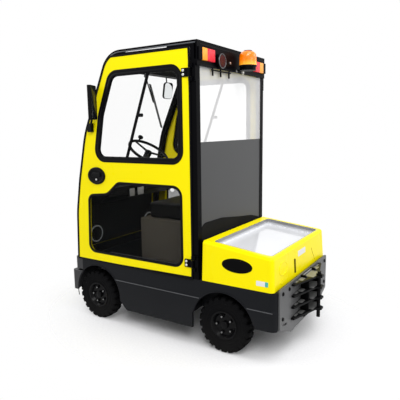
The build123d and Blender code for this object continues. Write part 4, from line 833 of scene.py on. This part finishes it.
# Work lamp: a round black housing on the header, with a dull grey metal bezel round a dark
# red lens; the bezel's grey is a painted highlight on the rim. All three are turned shapes about one line
# that looks back.
black_plastic = finish("black_plastic", (0.0028, 0.0028, 0.0033), 0.45, mottle=0.1, grain=0.001, relief=0.25,
                       gloss=0.08)
dark_red_lens = lens("dark_red_lens", (0.045, 0.001, 0.0015), 0.008, 0.0, 0.12, 0.03, 0.08)
lamp_low, lamp_high = np.array(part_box("work_lamp"))
lamp_middle = (lamp_low + lamp_high) / 2
lamp_radius, lamp_depth = (lamp_high[1] - lamp_low[1]) / 2, lamp_high[0] - lamp_low[0]
lens_inset = 0.0075
seat = (lamp_high[0], lamp_middle[1], lamp_middle[2])
housing = stacked(outline_circle(lamp_radius, 64), [
    (0.012, 0), (0.004, 0.006), (0.0, 0.014), (0.0, lamp_depth - 0.004), (0.0015, lamp_depth - 0.001),
    (0.004, lamp_depth), (0.007, lamp_depth - 0.002)], seat, *looking_back)
piece("work_lamp_housing", [housing], black_plastic, "chassis", replaces=("work_lamp",))
lens_dome = stacked(outline_circle(lamp_radius - lens_inset, 64), [
    (0, lamp_depth - 0.004), (0, lamp_depth - 0.0022), (0.010, lamp_depth - 0.0012),
    (0.024, lamp_depth - 0.0004), (0.036, lamp_depth)], seat, *looking_back)
# paler grey than the housing: a painted highlight round the lens
bezel_highlight_grey = finish("bezel_highlight_grey", (0.10, 0.10, 0.105), 0.3, metal=0.6, mottle=0.1, relief=0.1)
lamp_bezel = stacked(outline_circle(lamp_radius, 64), [
    (0.0004, lamp_depth - 0.006), (-0.0006, lamp_depth - 0.004), (0.001, lamp_depth - 0.0003),
    (0.0055, lamp_depth - 0.0003), (lens_inset, lamp_depth - 0.003), (lens_inset, lamp_depth - 0.006)],
    seat, *looking_back, ring=True)
piece("work_lamp_bezel", [lamp_bezel], bezel_highlight_grey, "chassis")
piece("work_lamp_lens", [lens_dome], dark_red_lens, "chassis")

# Beacon: an orange dome with fine moulded ribs up to its shoulder and a paler amber foot, in
# a black base ring, with a small black cap on top.
orange_lens = finish("orange_lens", (1.0, 0.19, 0.0), 0.12, coat=0.5, mottle=0.15, patch=0.05, relief=0.03,
                     gloss=0.3)
foot_amber, glow_orange, glow = (1.0, 0.50, 0.03), (1.0, 0.16, 0.0), 0.25
give(orange_lens.node_tree.nodes["Principled BSDF"], {
    "Emission Color": (*glow_orange, 1), "Emission Strength": glow})
beacon_low, beacon_high = np.array(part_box("beacon"))
tint_by_height(orange_lens, foot_amber, beacon_low[2] + 0.050, beacon_low[2] + 0.012)
beacon_middle = (beacon_low + beacon_high) / 2
beacon_seat = np.array([beacon_middle[0], beacon_middle[1], beacon_low[2]])
beacon_radius, beacon_height = (beacon_high[0] - beacon_low[0]) / 2, beacon_high[2] - beacon_low[2]
dome_sides, dome_ribs, rib_swell, dome_fit = 192, 48, 0.012, 0.985
shoulder, crown, crown_reach, shoulder_draw, crown_draw = 0.66, 0.34, 0.345, 0.0132, 0.75
crown_climb = shoulder + crown * np.sin(np.linspace(0.15, 1, 12) * math.pi / 2)
climb = np.concatenate([np.linspace(0, shoulder, 12), crown_climb])
crown_arc = 1 - np.sqrt(np.clip(1 - ((climb - shoulder) / crown_reach) ** 2, 0, 1))
draw = np.where(climb < shoulder, 0.02 * climb, shoulder_draw + crown_draw * crown_arc)
dome_rings = []
for share, drawn in zip(climb, draw):
    ripple = rib_swell if share < shoulder else 0.0
    dome_circle = outline_circle(1.0, dome_sides, ripple, dome_ribs)
    ring_circle = dome_circle * beacon_radius * (dome_fit - drawn)
    ring_height = np.full((dome_sides, 1), beacon_height * share)
    dome_rings.append(np.concatenate([ring_circle, ring_height], axis=1) + beacon_seat)
dome = capped(np.array(dome_rings), dome_rings[0].mean(axis=0), dome_rings[-1].mean(axis=0))
piece("beacon_dome", [dome], orange_lens, "chassis", replaces=("beacon",))
beacon_cap = stacked(outline_circle(0.034, 48), [(0, -0.006), (0, 0.0), (0.004, 0.0028), (0.016, 0.0045)],
                     (beacon_seat[0], beacon_seat[1], beacon_high[2]), *lying_flat)
beacon_band = stacked(outline_circle(beacon_radius, 96), [
    (0.001, -0.001), (-0.0015, 0.001), (-0.0015, 0.008), (0.001, 0.010), (0.004, 0.010), (0.004, -0.001)],
    beacon_seat, *lying_flat, ring=True)
piece("beacon_trim", [beacon_cap, beacon_band], black_plastic, "chassis")

# Header trim: bright hexagon bolts, one through the pale washer of the beacon's arm, a short
# bar with three pegs below, and a rubber seam along the header's upper and lower edge.
header_back_x = rear_x + 0.1827
clamp_cream = finish("clamp_cream", (0.50, 0.49, 0.42), 0.4, mottle=0.1, relief=0.1)
header_bolt_places = ((0.082, 2.099), (-0.022, 2.050), (-0.131, 2.051))
header_bolts = []
for bolt_y, bolt_z in header_bolt_places:
    header_bolts.append(stacked(outline_circle(0.0095, 6), [(0, 0), (0, 0.006), (0.001, 0.007)],
                                (header_back_x, bolt_y, bolt_z), *looking_back))
piece("header_bolts", header_bolts, bright_zinc, "chassis", sharp=25.0)
clamp_ring = stacked(outline_circle(0.021, 40), [
    (0, 0), (0, 0.002), (0.001, 0.003), (0.007, 0.003), (0.008, 0.002), (0.008, 0)],
    (header_back_x, *header_bolt_places[2]), *looking_back, ring=True)
piece("beacon_clamp", [clamp_ring], clamp_cream, "chassis")
peg_bar_x, peg_bar_z, peg_foot_z, peg_top_z = rear_x + 0.186, 2.024, 1.984, 2.040
peg_bar_radius, peg_radius = 0.005, 0.0065
peg_bar_path = np.linspace((peg_bar_x, 0.067, peg_bar_z), (peg_bar_x, 0.353, peg_bar_z), 20)
pegs = [tube(peg_bar_path, peg_bar_radius)]
for peg_y in (0.093, 0.220, 0.336):
    peg_path = np.linspace((peg_bar_x, peg_y, peg_foot_z), (peg_bar_x, peg_y, peg_top_z), 6)
    pegs.append(tube(peg_path, peg_radius))
piece("header_peg_rail", pegs, black_steel, "chassis")
header_seam_width, header_seam_height = 1.030, 0.008
header_seams = []
for seam_z in (2.180, 2.046):
    header_seams.append(stacked(rounded_rectangle(header_seam_width, header_seam_height, 0.003), [
        (0, -0.001), (0, 0.0012), (0.001, 0.002)], (header_back_x, 0.0, seam_z), *looking_back))
piece("header_seams", header_seams, seal_rubber, "chassis")

# Door handles: an oval black moulding with a recessed cup, a pull paddle across it and a
# small key cylinder below.
for hand, sign in hands:
    latch_name = f"door_latch_{hand}"
    latch_low, latch_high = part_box(latch_name)
    latch_sizes = np.array([latch_high[0] - latch_low[0], latch_high[2] - latch_low[2]])
    latch_outline = outline_circle(1.0, 72) * latch_sizes / 2
    latch_y = latch_low[1] if sign > 0 else latch_high[1]
    seat = np.array([(latch_low[0] + latch_high[0]) / 2, latch_y, (latch_low[2] + latch_high[2]) / 2])
    u, v = looking_out(sign)
    cup = stacked(latch_outline, [
        (0, 0), (0, 0.006), (0.002, 0.010), (0.006, 0.0125), (0.014, 0.013), (0.018, 0.0115), (0.022, 0.006),
        (0.030, 0.004)], seat, u, v)
    paddle = stacked(rounded_rectangle(0.092, 0.034, 0.012), [(0, 0.004), (0, 0.010), (0.004, 0.0135)],
                     seat + 0.008 * v, u, v)
    piece(f"{latch_name}_cup", [cup, paddle], black_plastic, f"door_{hand}",
          replaces=(latch_name,))
    key = stacked(outline_circle(0.008, 20), [(0, 0.004), (0, 0.0105), (0.001, 0.011), (0.003, 0.0105)],
                  seat - 0.030 * v, u, v)
    piece(f"door_key_{hand}", [key], bright_zinc, f"door_{hand}")

# Door hinges: two black leaves on the rear edge of each door, each folded round its pin and
# held by a pair of bright domed bolts.
hinge_levels = (0.640, 1.994)
leaf_outline, leaf_x, leaf_y = rounded_rectangle(0.0675, 0.0595, 0.004), rear_x + 0.2725, 0.561
leaf_bolt_x, leaf_bolt_lift = rear_x + 0.290, 0.014
barrel_x, barrel_y, barrel_radius, barrel_height = rear_x + 0.236, 0.564, 0.0096, 0.0584
for hand, sign in hands:
    u, v = looking_out(sign)
    leaves, bolts = [], []
    for hinge_z in hinge_levels:
        leaves.append(stacked(leaf_outline, [(0, -0.0078), (0, 0.0006), (0.001, 0.0014)],
                              (leaf_x, sign * leaf_y, hinge_z), u, v))
        leaves.append(stacked(outline_circle(barrel_radius, 32), [
            (0.001, 0), (0, 0.001), (0, barrel_height - 0.001), (0.001, barrel_height)],
            (barrel_x, sign * barrel_y, hinge_z - barrel_height / 2), *lying_flat))
        for lift in (-leaf_bolt_lift, leaf_bolt_lift):
            bolts.append(stacked(outline_circle(0.0098, 24), [
                (0, 0.001), (0, 0.003), (0.002, 0.0055), (0.006, 0.0065)],
                (leaf_bolt_x, sign * leaf_y, hinge_z + lift), u, v))
    piece(f"hinge_leaves_{hand}", leaves, frame_black, f"door_{hand}")
    piece(f"hinge_bolts_{hand}", bolts, bright_zinc, f"door_{hand}")

# Headlamps: round ribbed glass lenses in plated bezels, let into the front panel, with a
# pressed reflector dish and a bulb behind each glass.
chrome = finish("chrome", (0.75, 0.76, 0.77), 0.12, metal=1.0, mottle=0.05, relief=0.02)
lamp_glass = lens("lamp_glass", (0.62, 0.66, 0.68), 0.010, 0.0, 0.08)
dress(lamp_glass, "headlamps")
head_low, head_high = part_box("headlamps")
head_y, head_z = 0.370, 0.700
looking_front = (np.array([0.0, 1.0, 0.0]), upright)
bezels, reflectors, bulbs = [], [], []
for hand, sign in hands:
    seat = (head_high[0], sign * head_y, head_z)
    bezels.append(stacked(outline_circle(0.0745, 72), [
        (0, -0.004), (0, 0.001), (0.002, 0.004), (0.005, 0.0045), (0.009, 0.002), (0.010, -0.004)],
        seat, *looking_front, ring=True))
    reflectors.append(stacked(outline_circle(0.0700, 64), [
        (0.048, -0.046), (0.022, -0.037), (0.006, -0.022), (0.0, -0.008), (0.0015, -0.007), (0.008, -0.021),
        (0.023, -0.034), (0.048, -0.042)], seat, *looking_front))
    bulbs.append(stacked(outline_circle(0.0110, 32), [
        (0, -0.043), (0, -0.020), (0.002, -0.016), (0.006, -0.0145)], seat, *looking_front))
piece("headlamp_bezels", bezels, chrome, "chassis")
piece("headlamp_reflectors", reflectors, chrome, "chassis")
bulb_glass = finish("bulb_glass", (0.80, 0.79, 0.74), 0.15, mottle=0.02, relief=0.0, gloss=0.5)
piece("headlamp_bulbs", bulbs, bulb_glass, "chassis")

# Mirrors: black moulded heads on bent tubes, each with its glass set in the face that
# looks back along the tug.
mirror_glass = finish("mirror_glass", (0.012, 0.014, 0.015), 0.12, mottle=0.02, relief=0.0, gloss=0.15)
dress(black_plastic, "mirror_left", "mirror_right")
head_turn, head_half_depth = math.radians(22), 0.015
mirror_x, mirror_y, mirror_z = rear_x + 1.110, 0.620, 1.822
for hand, sign in hands:
    middle = np.array([mirror_x, sign * mirror_y, mirror_z])
    back = np.array([-math.cos(head_turn), -sign * math.sin(head_turn), 0.0])
    u, v = np.cross(upright, back), upright
    seat = middle + back * head_half_depth
    glass = stacked(rounded_rectangle(0.094, 0.244, 0.012), [(0, 0), (0, 0.0008), (0.0006, 0.0012)],
                    seat, u, v)
    piece(f"mirror_glass_{hand}", [glass], mirror_glass, f"door_{hand}")
    lip = stacked(rounded_rectangle(0.108, 0.260, 0.012), [
        (0, -0.001), (0.0005, 0.0015), (0.003, 0.0022), (0.0065, 0.0012), (0.007, -0.001)],
        seat, u, v, ring=True)
    piece(f"mirror_lip_{hand}", [lip], black_plastic, f"door_{hand}")

# Wiper: a sprung grey arm from the motor shaft on the roof's edge, with its blade. The CAD
# solid keeps its shape here.
wiper_grey = finish("wiper_grey", (0.085, 0.087, 0.092), 0.45, mottle=0.15, patch=0.05, relief=0.1, gloss=0.2)
dress(wiper_grey, "wiper")

# Driver's seat: two vinyl pads stuffed with foam, on a closed steel box. Each pad swells
# from its CAD block under cloth pressure, so its faces crown between rounded edges.
seat_vinyl = finish("seat_vinyl", (0.010, 0.010, 0.011), 0.5, mottle=0.15, patch=0.1, grain=0.0012,
                    relief=0.35, gloss=0.12)
cab_liner = finish("cab_liner", (0.20, 0.18, 0.15), 0.6, mottle=0.1, grain=0.002, relief=0.3, gloss=0.1)
dress(cab_liner, "seat_box")
pad_swell, pad_shrink, pad_voxel, pad_pressure, pad_steps, pad_fill = 0.010, 0.93, 0.010, 4.0, 20, 0.8


def stuffed_pad(node_name):
    """The node's merged mesh, drawn in a little about its middle, remeshed in small voxels
    and blown up by cloth pressure; no point moves more than pad_swell."""
    pad_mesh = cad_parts[node_name].data.copy()
    pad = placed(f"{node_name}_pad", pad_mesh)
    places = mesh_points(pad_mesh)
    middle = (places.min(axis=0) + places.max(axis=0)) / 2
    pad_mesh.vertices.foreach_set("co", (middle + (places - middle) * pad_shrink).ravel())
    remesh = pad.modifiers.new("remesh", "REMESH")
    remesh.mode, remesh.voxel_size = "VOXEL", pad_voxel
    bpy.context.view_layer.objects.active = pad
    bpy.ops.object.modifier_apply(modifier="remesh")
    still = mesh_points(pad.data)
    cloth = pad.modifiers.new("cloth", "CLOTH")
    cloth.settings.use_pressure = True
    cloth.settings.uniform_pressure_force = pad_pressure
    cloth.settings.effector_weights.gravity = 0.0
    for step in range(1, pad_steps + 1):
        bpy.context.scene.frame_set(step)
    bpy.ops.object.modifier_apply(modifier="cloth")
    bpy.context.scene.frame_set(1)
    shift = mesh_points(pad.data) - still
    size = np.linalg.norm(shift, axis=1)[:, None]
    shift *= np.minimum(1, pad_swell / np.maximum(size, 1e-9))
    pad.data.vertices.foreach_set("co", (still + shift).ravel())
    smooth = pad.modifiers.new("smooth", "SUBSURF")
    smooth.levels = smooth.render_levels = 1
    pad.data.polygons.foreach_set("use_smooth", np.ones(len(pad.data.polygons), bool))
    pad.data.materials.clear()
    pad.data.materials.append(seat_vinyl)
    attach(pad, "chassis")
    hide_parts(node_name)
    return pad


for node_name in ("seat_cushion", "seat_back"):
    stuffed_pad(node_name)

# Dash and dark sheets: a moulded black dash with two blank instrument faces in black housings, a
# plate along each sill, pale as a painted reflection of the floor, a black sheet inside the front panel
# as painted shade, and a black bowl that closes the back of each headlamp.
instrument_face = finish("instrument_face", (0.80, 0.81, 0.76), 0.35, mottle=0.35, patch=0.02, relief=0.1,
                         gloss=0.2)
sill_reflection_grey = finish("sill_reflection_grey", (0.30, 0.31, 0.33), 0.4, metal=0.5, mottle=0.15, patch=0.05, relief=0.3)
dress(black_plastic, "dash", "steering_column")
gauge_table = (
    # middle from the tug's centre line, width
    (0.161, 0.078),
    (0.0435, 0.097),
)
gauge_low_z, gauge_high_z, gauge_rim = 1.022, 1.101, 0.006
gauge_height = gauge_high_z - gauge_low_z
dash_rear_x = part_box("dash")[0][0]
housings, gauges = [], []
for gauge_y, gauge_width in gauge_table:
    seat = (dash_rear_x, gauge_y, (gauge_low_z + gauge_high_z) / 2)
    housings.append(stacked(rounded_rectangle(gauge_width, gauge_height, 0.008), [
        (0, -0.05), (0, -0.001), (0.003, 0.001), (0.005, -0.001)], seat, *looking_back))
    face_outline = rounded_rectangle(gauge_width - 2 * gauge_rim, gauge_height - 2 * gauge_rim, 0.005)
    gauges.append(stacked(face_outline, [(0, -0.004), (0, 0), (0.001, 0.0006)], seat, *looking_back))
piece("gauge_housings", housings, black_plastic, "chassis")
piece("gauge_faces", gauges, instrument_face, "chassis")
# Sill plates: their pale grey is a painted reflection of the floor, seen through the lower pane.
sill_x, sill_y, sill_z, sill_length, sill_width = rear_x + 0.81, 0.390, 0.5222, 0.96, 0.200
sill_outline = rounded_rectangle(sill_length, sill_width, 0.01)
sills = []
for hand, sign in hands:
    sills.append(stacked(sill_outline, [(0, 0), (0, 0.002), (0.001, 0.003)],
                         (sill_x, sign * sill_y, sill_z), *lying_flat))
piece("sill_plates", sills, sill_reflection_grey, "chassis")
# a black sheet close inside the front panel: painted shade there
shade_sheet_levels, shade_sheet_half, shade_sheet_thickness, shade_sheet_gap = 16, 0.470, 0.003, 0.0005
shade_sheet_low_z, shade_sheet_high_z, shade_sheet_start_x = 0.5915, 1.100, rear_x + 1.0
panel_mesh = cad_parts["front_panel"].data
panel_points = [tuple(vertex.co) for vertex in panel_mesh.vertices]
panel_faces = [tuple(face.vertices) for face in panel_mesh.polygons]
panel_tree = mathutils.bvhtree.BVHTree.FromPolygons(panel_points, panel_faces)
shade_sheet_z = np.linspace(shade_sheet_low_z, shade_sheet_high_z, shade_sheet_levels)
panel_hits = [panel_tree.ray_cast((shade_sheet_start_x, 0.0, z), (1.0, 0.0, 0.0))[0].x for z in shade_sheet_z]
shade_sheet_front_x = np.array(panel_hits) - shade_sheet_gap
shade_sheet_back_x = shade_sheet_front_x - shade_sheet_thickness
left_edge, right_edge = np.full(shade_sheet_levels, shade_sheet_half), np.full(shade_sheet_levels, -shade_sheet_half)
shade_sheet_rows = np.stack([
    np.stack([shade_sheet_front_x, right_edge, shade_sheet_z], axis=1),
    np.stack([shade_sheet_front_x, left_edge, shade_sheet_z], axis=1),
    np.stack([shade_sheet_back_x, left_edge, shade_sheet_z], axis=1),
    np.stack([shade_sheet_back_x, right_edge, shade_sheet_z], axis=1),
], axis=1)
top_row = 4 * (shade_sheet_levels - 1)
shade_sheet_ends = [[0, 1, 2, 3], [top_row + 3, top_row + 2, top_row + 1, top_row]]
shade_sheet_faces = grid_faces(shade_sheet_levels, 4).tolist() + shade_sheet_ends
piece("front_shade_sheet", [(shade_sheet_rows.reshape(-1, 3), shade_sheet_faces)], reflection_and_shade_black, "chassis")
bowl_radius, bowl_front_x = 0.0775, head_low[0] + 0.072
bowls = []
for hand, sign in hands:
    bowl_seat = (bowl_front_x, sign * head_y, head_z)
    bowls.append(stacked(outline_circle(bowl_radius, 48), [
        (0, 0.014), (0, 0.063), (0.0022, 0.063), (0.0022, 0.014)], bowl_seat, *looking_back, ring=True))
    bowls.append(stacked(outline_circle(bowl_radius, 48), [
        (0, 0.0595), (0, 0.063), (0.008, 0.070), (0.025, 0.0755), (0.050, 0.078)], bowl_seat, *looking_back))
piece("headlamp_bowls", bowls, black_plastic, "chassis")

# Steering wheel: a round padded rim on three flat spokes, a domed hub, and a spinner knob on
# its stalk at the far side of the rim. It turns about the leaning column.
column_lean = math.radians(33)
wheel_middle = np.array([rear_x + 1.065, 0.0, 1.401])
wheel_u = np.array([math.cos(column_lean), 0.0, math.sin(column_lean)])
wheel_v = np.array([0.0, 1.0, 0.0])
wheel_axis = np.cross(wheel_u, wheel_v)
wheel_radius, grip_radius, grip_lift = 0.184, 0.0125, 0.010
hub_radius, knob_radius, knob_turn = 0.032, 0.024, math.radians(-15)


def ring_bar(middle, u, v, radius, thickness, turns=120, sides=16):
    """Round bar bent into a ring: a circle of the given thickness carried round a larger
    circle in the plane of u and v. Returns points and faces."""
    around = np.linspace(0, 2 * np.pi, turns, endpoint=False)[:, None, None]
    across = np.linspace(0, 2 * np.pi, sides, endpoint=False)[None, :, None]
    outward, upward = np.cos(around) * u + np.sin(around) * v, np.cross(u, v)
    points = middle + (radius + thickness * np.cos(across)) * outward + thickness * np.sin(across) * upward
    return points.reshape(-1, 3), grid_faces(turns, sides, wrap_rows=True)


grip_middle = wheel_middle + grip_lift * wheel_axis
wheel_parts = [ring_bar(grip_middle, wheel_u, wheel_v, wheel_radius, grip_radius)]
spoke_outline = rounded_outline([(0.015, -0.015), (0.178, -0.009), (0.178, 0.009), (0.015, 0.015)], 0.002, 3)
for spoke_turn in np.radians([0, 120, 240]):
    spoke_u = math.cos(spoke_turn) * wheel_u + math.sin(spoke_turn) * wheel_v
    spoke_v = np.cross(wheel_axis, spoke_u)
    wheel_parts.append(stacked(spoke_outline, [(0.001, 0.004), (0, 0.005), (0, 0.011), (0.002, 0.013)],
                               wheel_middle, spoke_u, spoke_v))
wheel_parts.append(stacked(outline_circle(hub_radius, 48), [
    (0, -0.0118), (0, 0.013), (0.002, 0.017), (0.008, 0.021), (0.020, 0.0235)],
    wheel_middle, wheel_u, wheel_v))
knob_seat = wheel_middle + wheel_radius * (math.cos(knob_turn) * wheel_u + math.sin(knob_turn) * wheel_v)
wheel_parts.append(stacked(outline_circle(knob_radius, 32), [
    (0.015, 0.012), (0.0155, 0.034), (0.003, 0.040), (0, 0.047), (0, 0.055), (0.003, 0.062), (0.011, 0.067)],
    knob_seat, wheel_u, wheel_v))
piece("steering_wheel_padded", wheel_parts, black_plastic, "steering_wheel",
      replaces=("steering_wheel",))

# Interior mirror: a rounded glass in a black shell, hung by a short stalk from the front beam
# of the roof and tipped down a little.
mirror_seat = np.array([rear_x + 1.075, -0.343, 1.968])
silvered = finish("silvered_glass", (0.80, 0.82, 0.82), 0.04, metal=1.0, mottle=0.02, relief=0.0)
nod, stalk_radius, stalk_top_z = math.radians(9), 0.006, 2.088
looking_down = (np.array([0.0, -1.0, 0.0]), np.array([-math.sin(nod), 0.0, math.cos(nod)]))
shell = stacked(rounded_rectangle(0.132, 0.152, 0.030), [
    (0.004, -0.018), (0, -0.012), (0, 0.0), (0.002, 0.002), (0.006, 0.001)], mirror_seat, *looking_down)
stalk_foot = mirror_seat + np.array([0.012, 0.0, 0.0])
stalk_top = (mirror_seat[0] + 0.020, mirror_seat[1], stalk_top_z)
stalk = tube(np.linspace(stalk_foot, stalk_top, 6), stalk_radius)
piece("interior_mirror", [shell, stalk], black_plastic, "chassis")
inner_glass = stacked(rounded_rectangle(0.122, 0.142, 0.026), [(0, 0), (0, 0.002), (0.0005, 0.0026)],
                      mirror_seat, *looking_down)
piece("interior_mirror_glass", [inner_glass], silvered, "chassis")

# Studio: a plain pale floor that keeps the shadow and thins out into an even white surround,
# under four soft square lamps: on the left, behind to the right, in front and over the hood.
floor_colour, floor_reach, floor_stretch = (0.88, 0.88, 0.89), 6.0, (0.75, 1.0, 1.0)
fade_start, fade_end = 0.45, 1.50
floor_mesh = bpy.data.meshes.new("floor")
floor_corners = [(sx * floor_reach, sy * floor_reach, 0) for sx, sy in ((-1, -1), (1, -1), (1, 1), (-1, 1))]
floor_mesh.from_pydata(floor_corners, [], [(0, 1, 2, 3)])
floor = placed("floor", floor_mesh)
floor_pale = finish("floor_pale", floor_colour, 0.8, mottle=0.12, patch=0.015, grain=0.004, relief=0.3,
                    gloss=0.1)
floor_nodes, floor_link = floor_pale.node_tree.nodes, floor_pale.node_tree.links.new
floor_place, stretch = floor_nodes.new("ShaderNodeTexCoord"), floor_nodes.new("ShaderNodeVectorMath")
distance, fade = floor_nodes.new("ShaderNodeVectorMath"), floor_nodes.new("ShaderNodeMapRange")
stretch.operation, distance.operation, fade.interpolation_type = "MULTIPLY", "LENGTH", "SMOOTHSTEP"
give(stretch, {1: floor_stretch})
floor_link(floor_place.outputs["Object"], stretch.inputs[0])
floor_link(stretch.outputs[0], distance.inputs[0])
floor_link(distance.outputs["Value"], fade.inputs["Value"])
give(fade, {"From Min": fade_start, "From Max": fade_end, "To Min": 1.0, "To Max": 0.0})
floor_link(fade.outputs["Result"], floor_nodes["Principled BSDF"].inputs["Alpha"])
floor_mesh.materials.append(floor_pale)


def soft_lamp(name, place, aim, size, power):
    """A square area lamp at a place, turned to face its aim."""
    data = bpy.data.lights.new(name, "AREA")
    data.shape, data.size, data.energy = "SQUARE", size, power
    made = placed(name, data)
    from_aim = np.array(place, float) - np.array(aim, float)
    from_aim /= np.linalg.norm(from_aim)
    side = np.cross(upright, from_aim)
    side /= np.linalg.norm(side)
    rise = np.cross(from_aim, side)
    turn = np.eye(4)
    turn[:3, 0], turn[:3, 1], turn[:3, 2], turn[:3, 3] = side, rise, from_aim, place
    made.matrix_world = turn.T.tolist()
    return made


soft_lamp("key_lamp", (-2.6, 4.2, 4.6), (0, 0, 0.9), 2.6, 165.0)
soft_lamp("fill_lamp", (-4.6, -2.4, 3.2), (0, 0, 0.9), 3.0, 80.0)
soft_lamp("front_lamp", (4.4, 1.4, 3.8), (0, 0, 0.9), 3.0, 90.0)
soft_lamp("top_lamp", (-2.2, 0.8, 4.9), (-0.6, 0, 0.8), 2.4, 75.0)
world = bpy.data.worlds.new("surround")
bpy.context.scene.world = world
world.use_nodes = True
sky_nodes, sky_link = world.node_tree.nodes, world.node_tree.links.new
shadow_level, seen_level = 0.58, 1.0
ray, level = sky_nodes.new("ShaderNodeLightPath"), sky_nodes.new("ShaderNodeMapRange")
seen, either = sky_nodes.new("ShaderNodeMath"), sky_nodes.new("ShaderNodeMath")
seen.operation = either.operation = "MAXIMUM"
sky_link(ray.outputs["Is Camera Ray"], seen.inputs[0])
sky_link(ray.outputs["Is Glossy Ray"], seen.inputs[1])
sky_link(seen.outputs[0], either.inputs[0])
sky_link(ray.outputs["Is Transmission Ray"], either.inputs[1])
give(level, {"To Min": shadow_level, "To Max": seen_level})
sky_link(either.outputs[0], level.inputs["Value"])
give(sky_nodes["Background"], {"Color": (1, 1, 1, 1)})
sky_link(level.outputs["Result"], sky_nodes["Background"].inputs["Strength"])
bpy.context.scene.view_settings.view_transform = "Standard"

# Camera: where the photograph was taken from, worked out from the wheels, cab and chassis.
camera_place = (-2.00713, 3.23004, 1.61056)
camera_yaw, camera_pitch, camera_roll = (math.radians(a) for a in (-57.67, -8.9, -0.77))
focal_pixels, picture_pixels = 455.2, 400
level_reach = math.cos(camera_pitch)
ahead = np.array([
    level_reach * math.cos(camera_yaw), level_reach * math.sin(camera_yaw), math.sin(camera_pitch)])
level_right = np.cross(ahead, upright)
level_right /= np.linalg.norm(level_right)
level_up = np.cross(level_right, ahead)
camera_data = bpy.data.cameras.new("camera")
camera_data.sensor_width = 36.0
camera_data.lens = focal_pixels / picture_pixels * camera_data.sensor_width
camera_data.clip_end = 200.0
camera = placed("camera", camera_data)
turn = np.eye(4)
turn[:3, 0] = math.cos(camera_roll) * level_right + math.sin(camera_roll) * level_up
turn[:3, 1] = -math.sin(camera_roll) * level_right + math.cos(camera_roll) * level_up
turn[:3, 2] = -ahead
turn[:3, 3] = camera_place
camera.matrix_world = turn.T.tolist()
bpy.context.scene.camera = camera
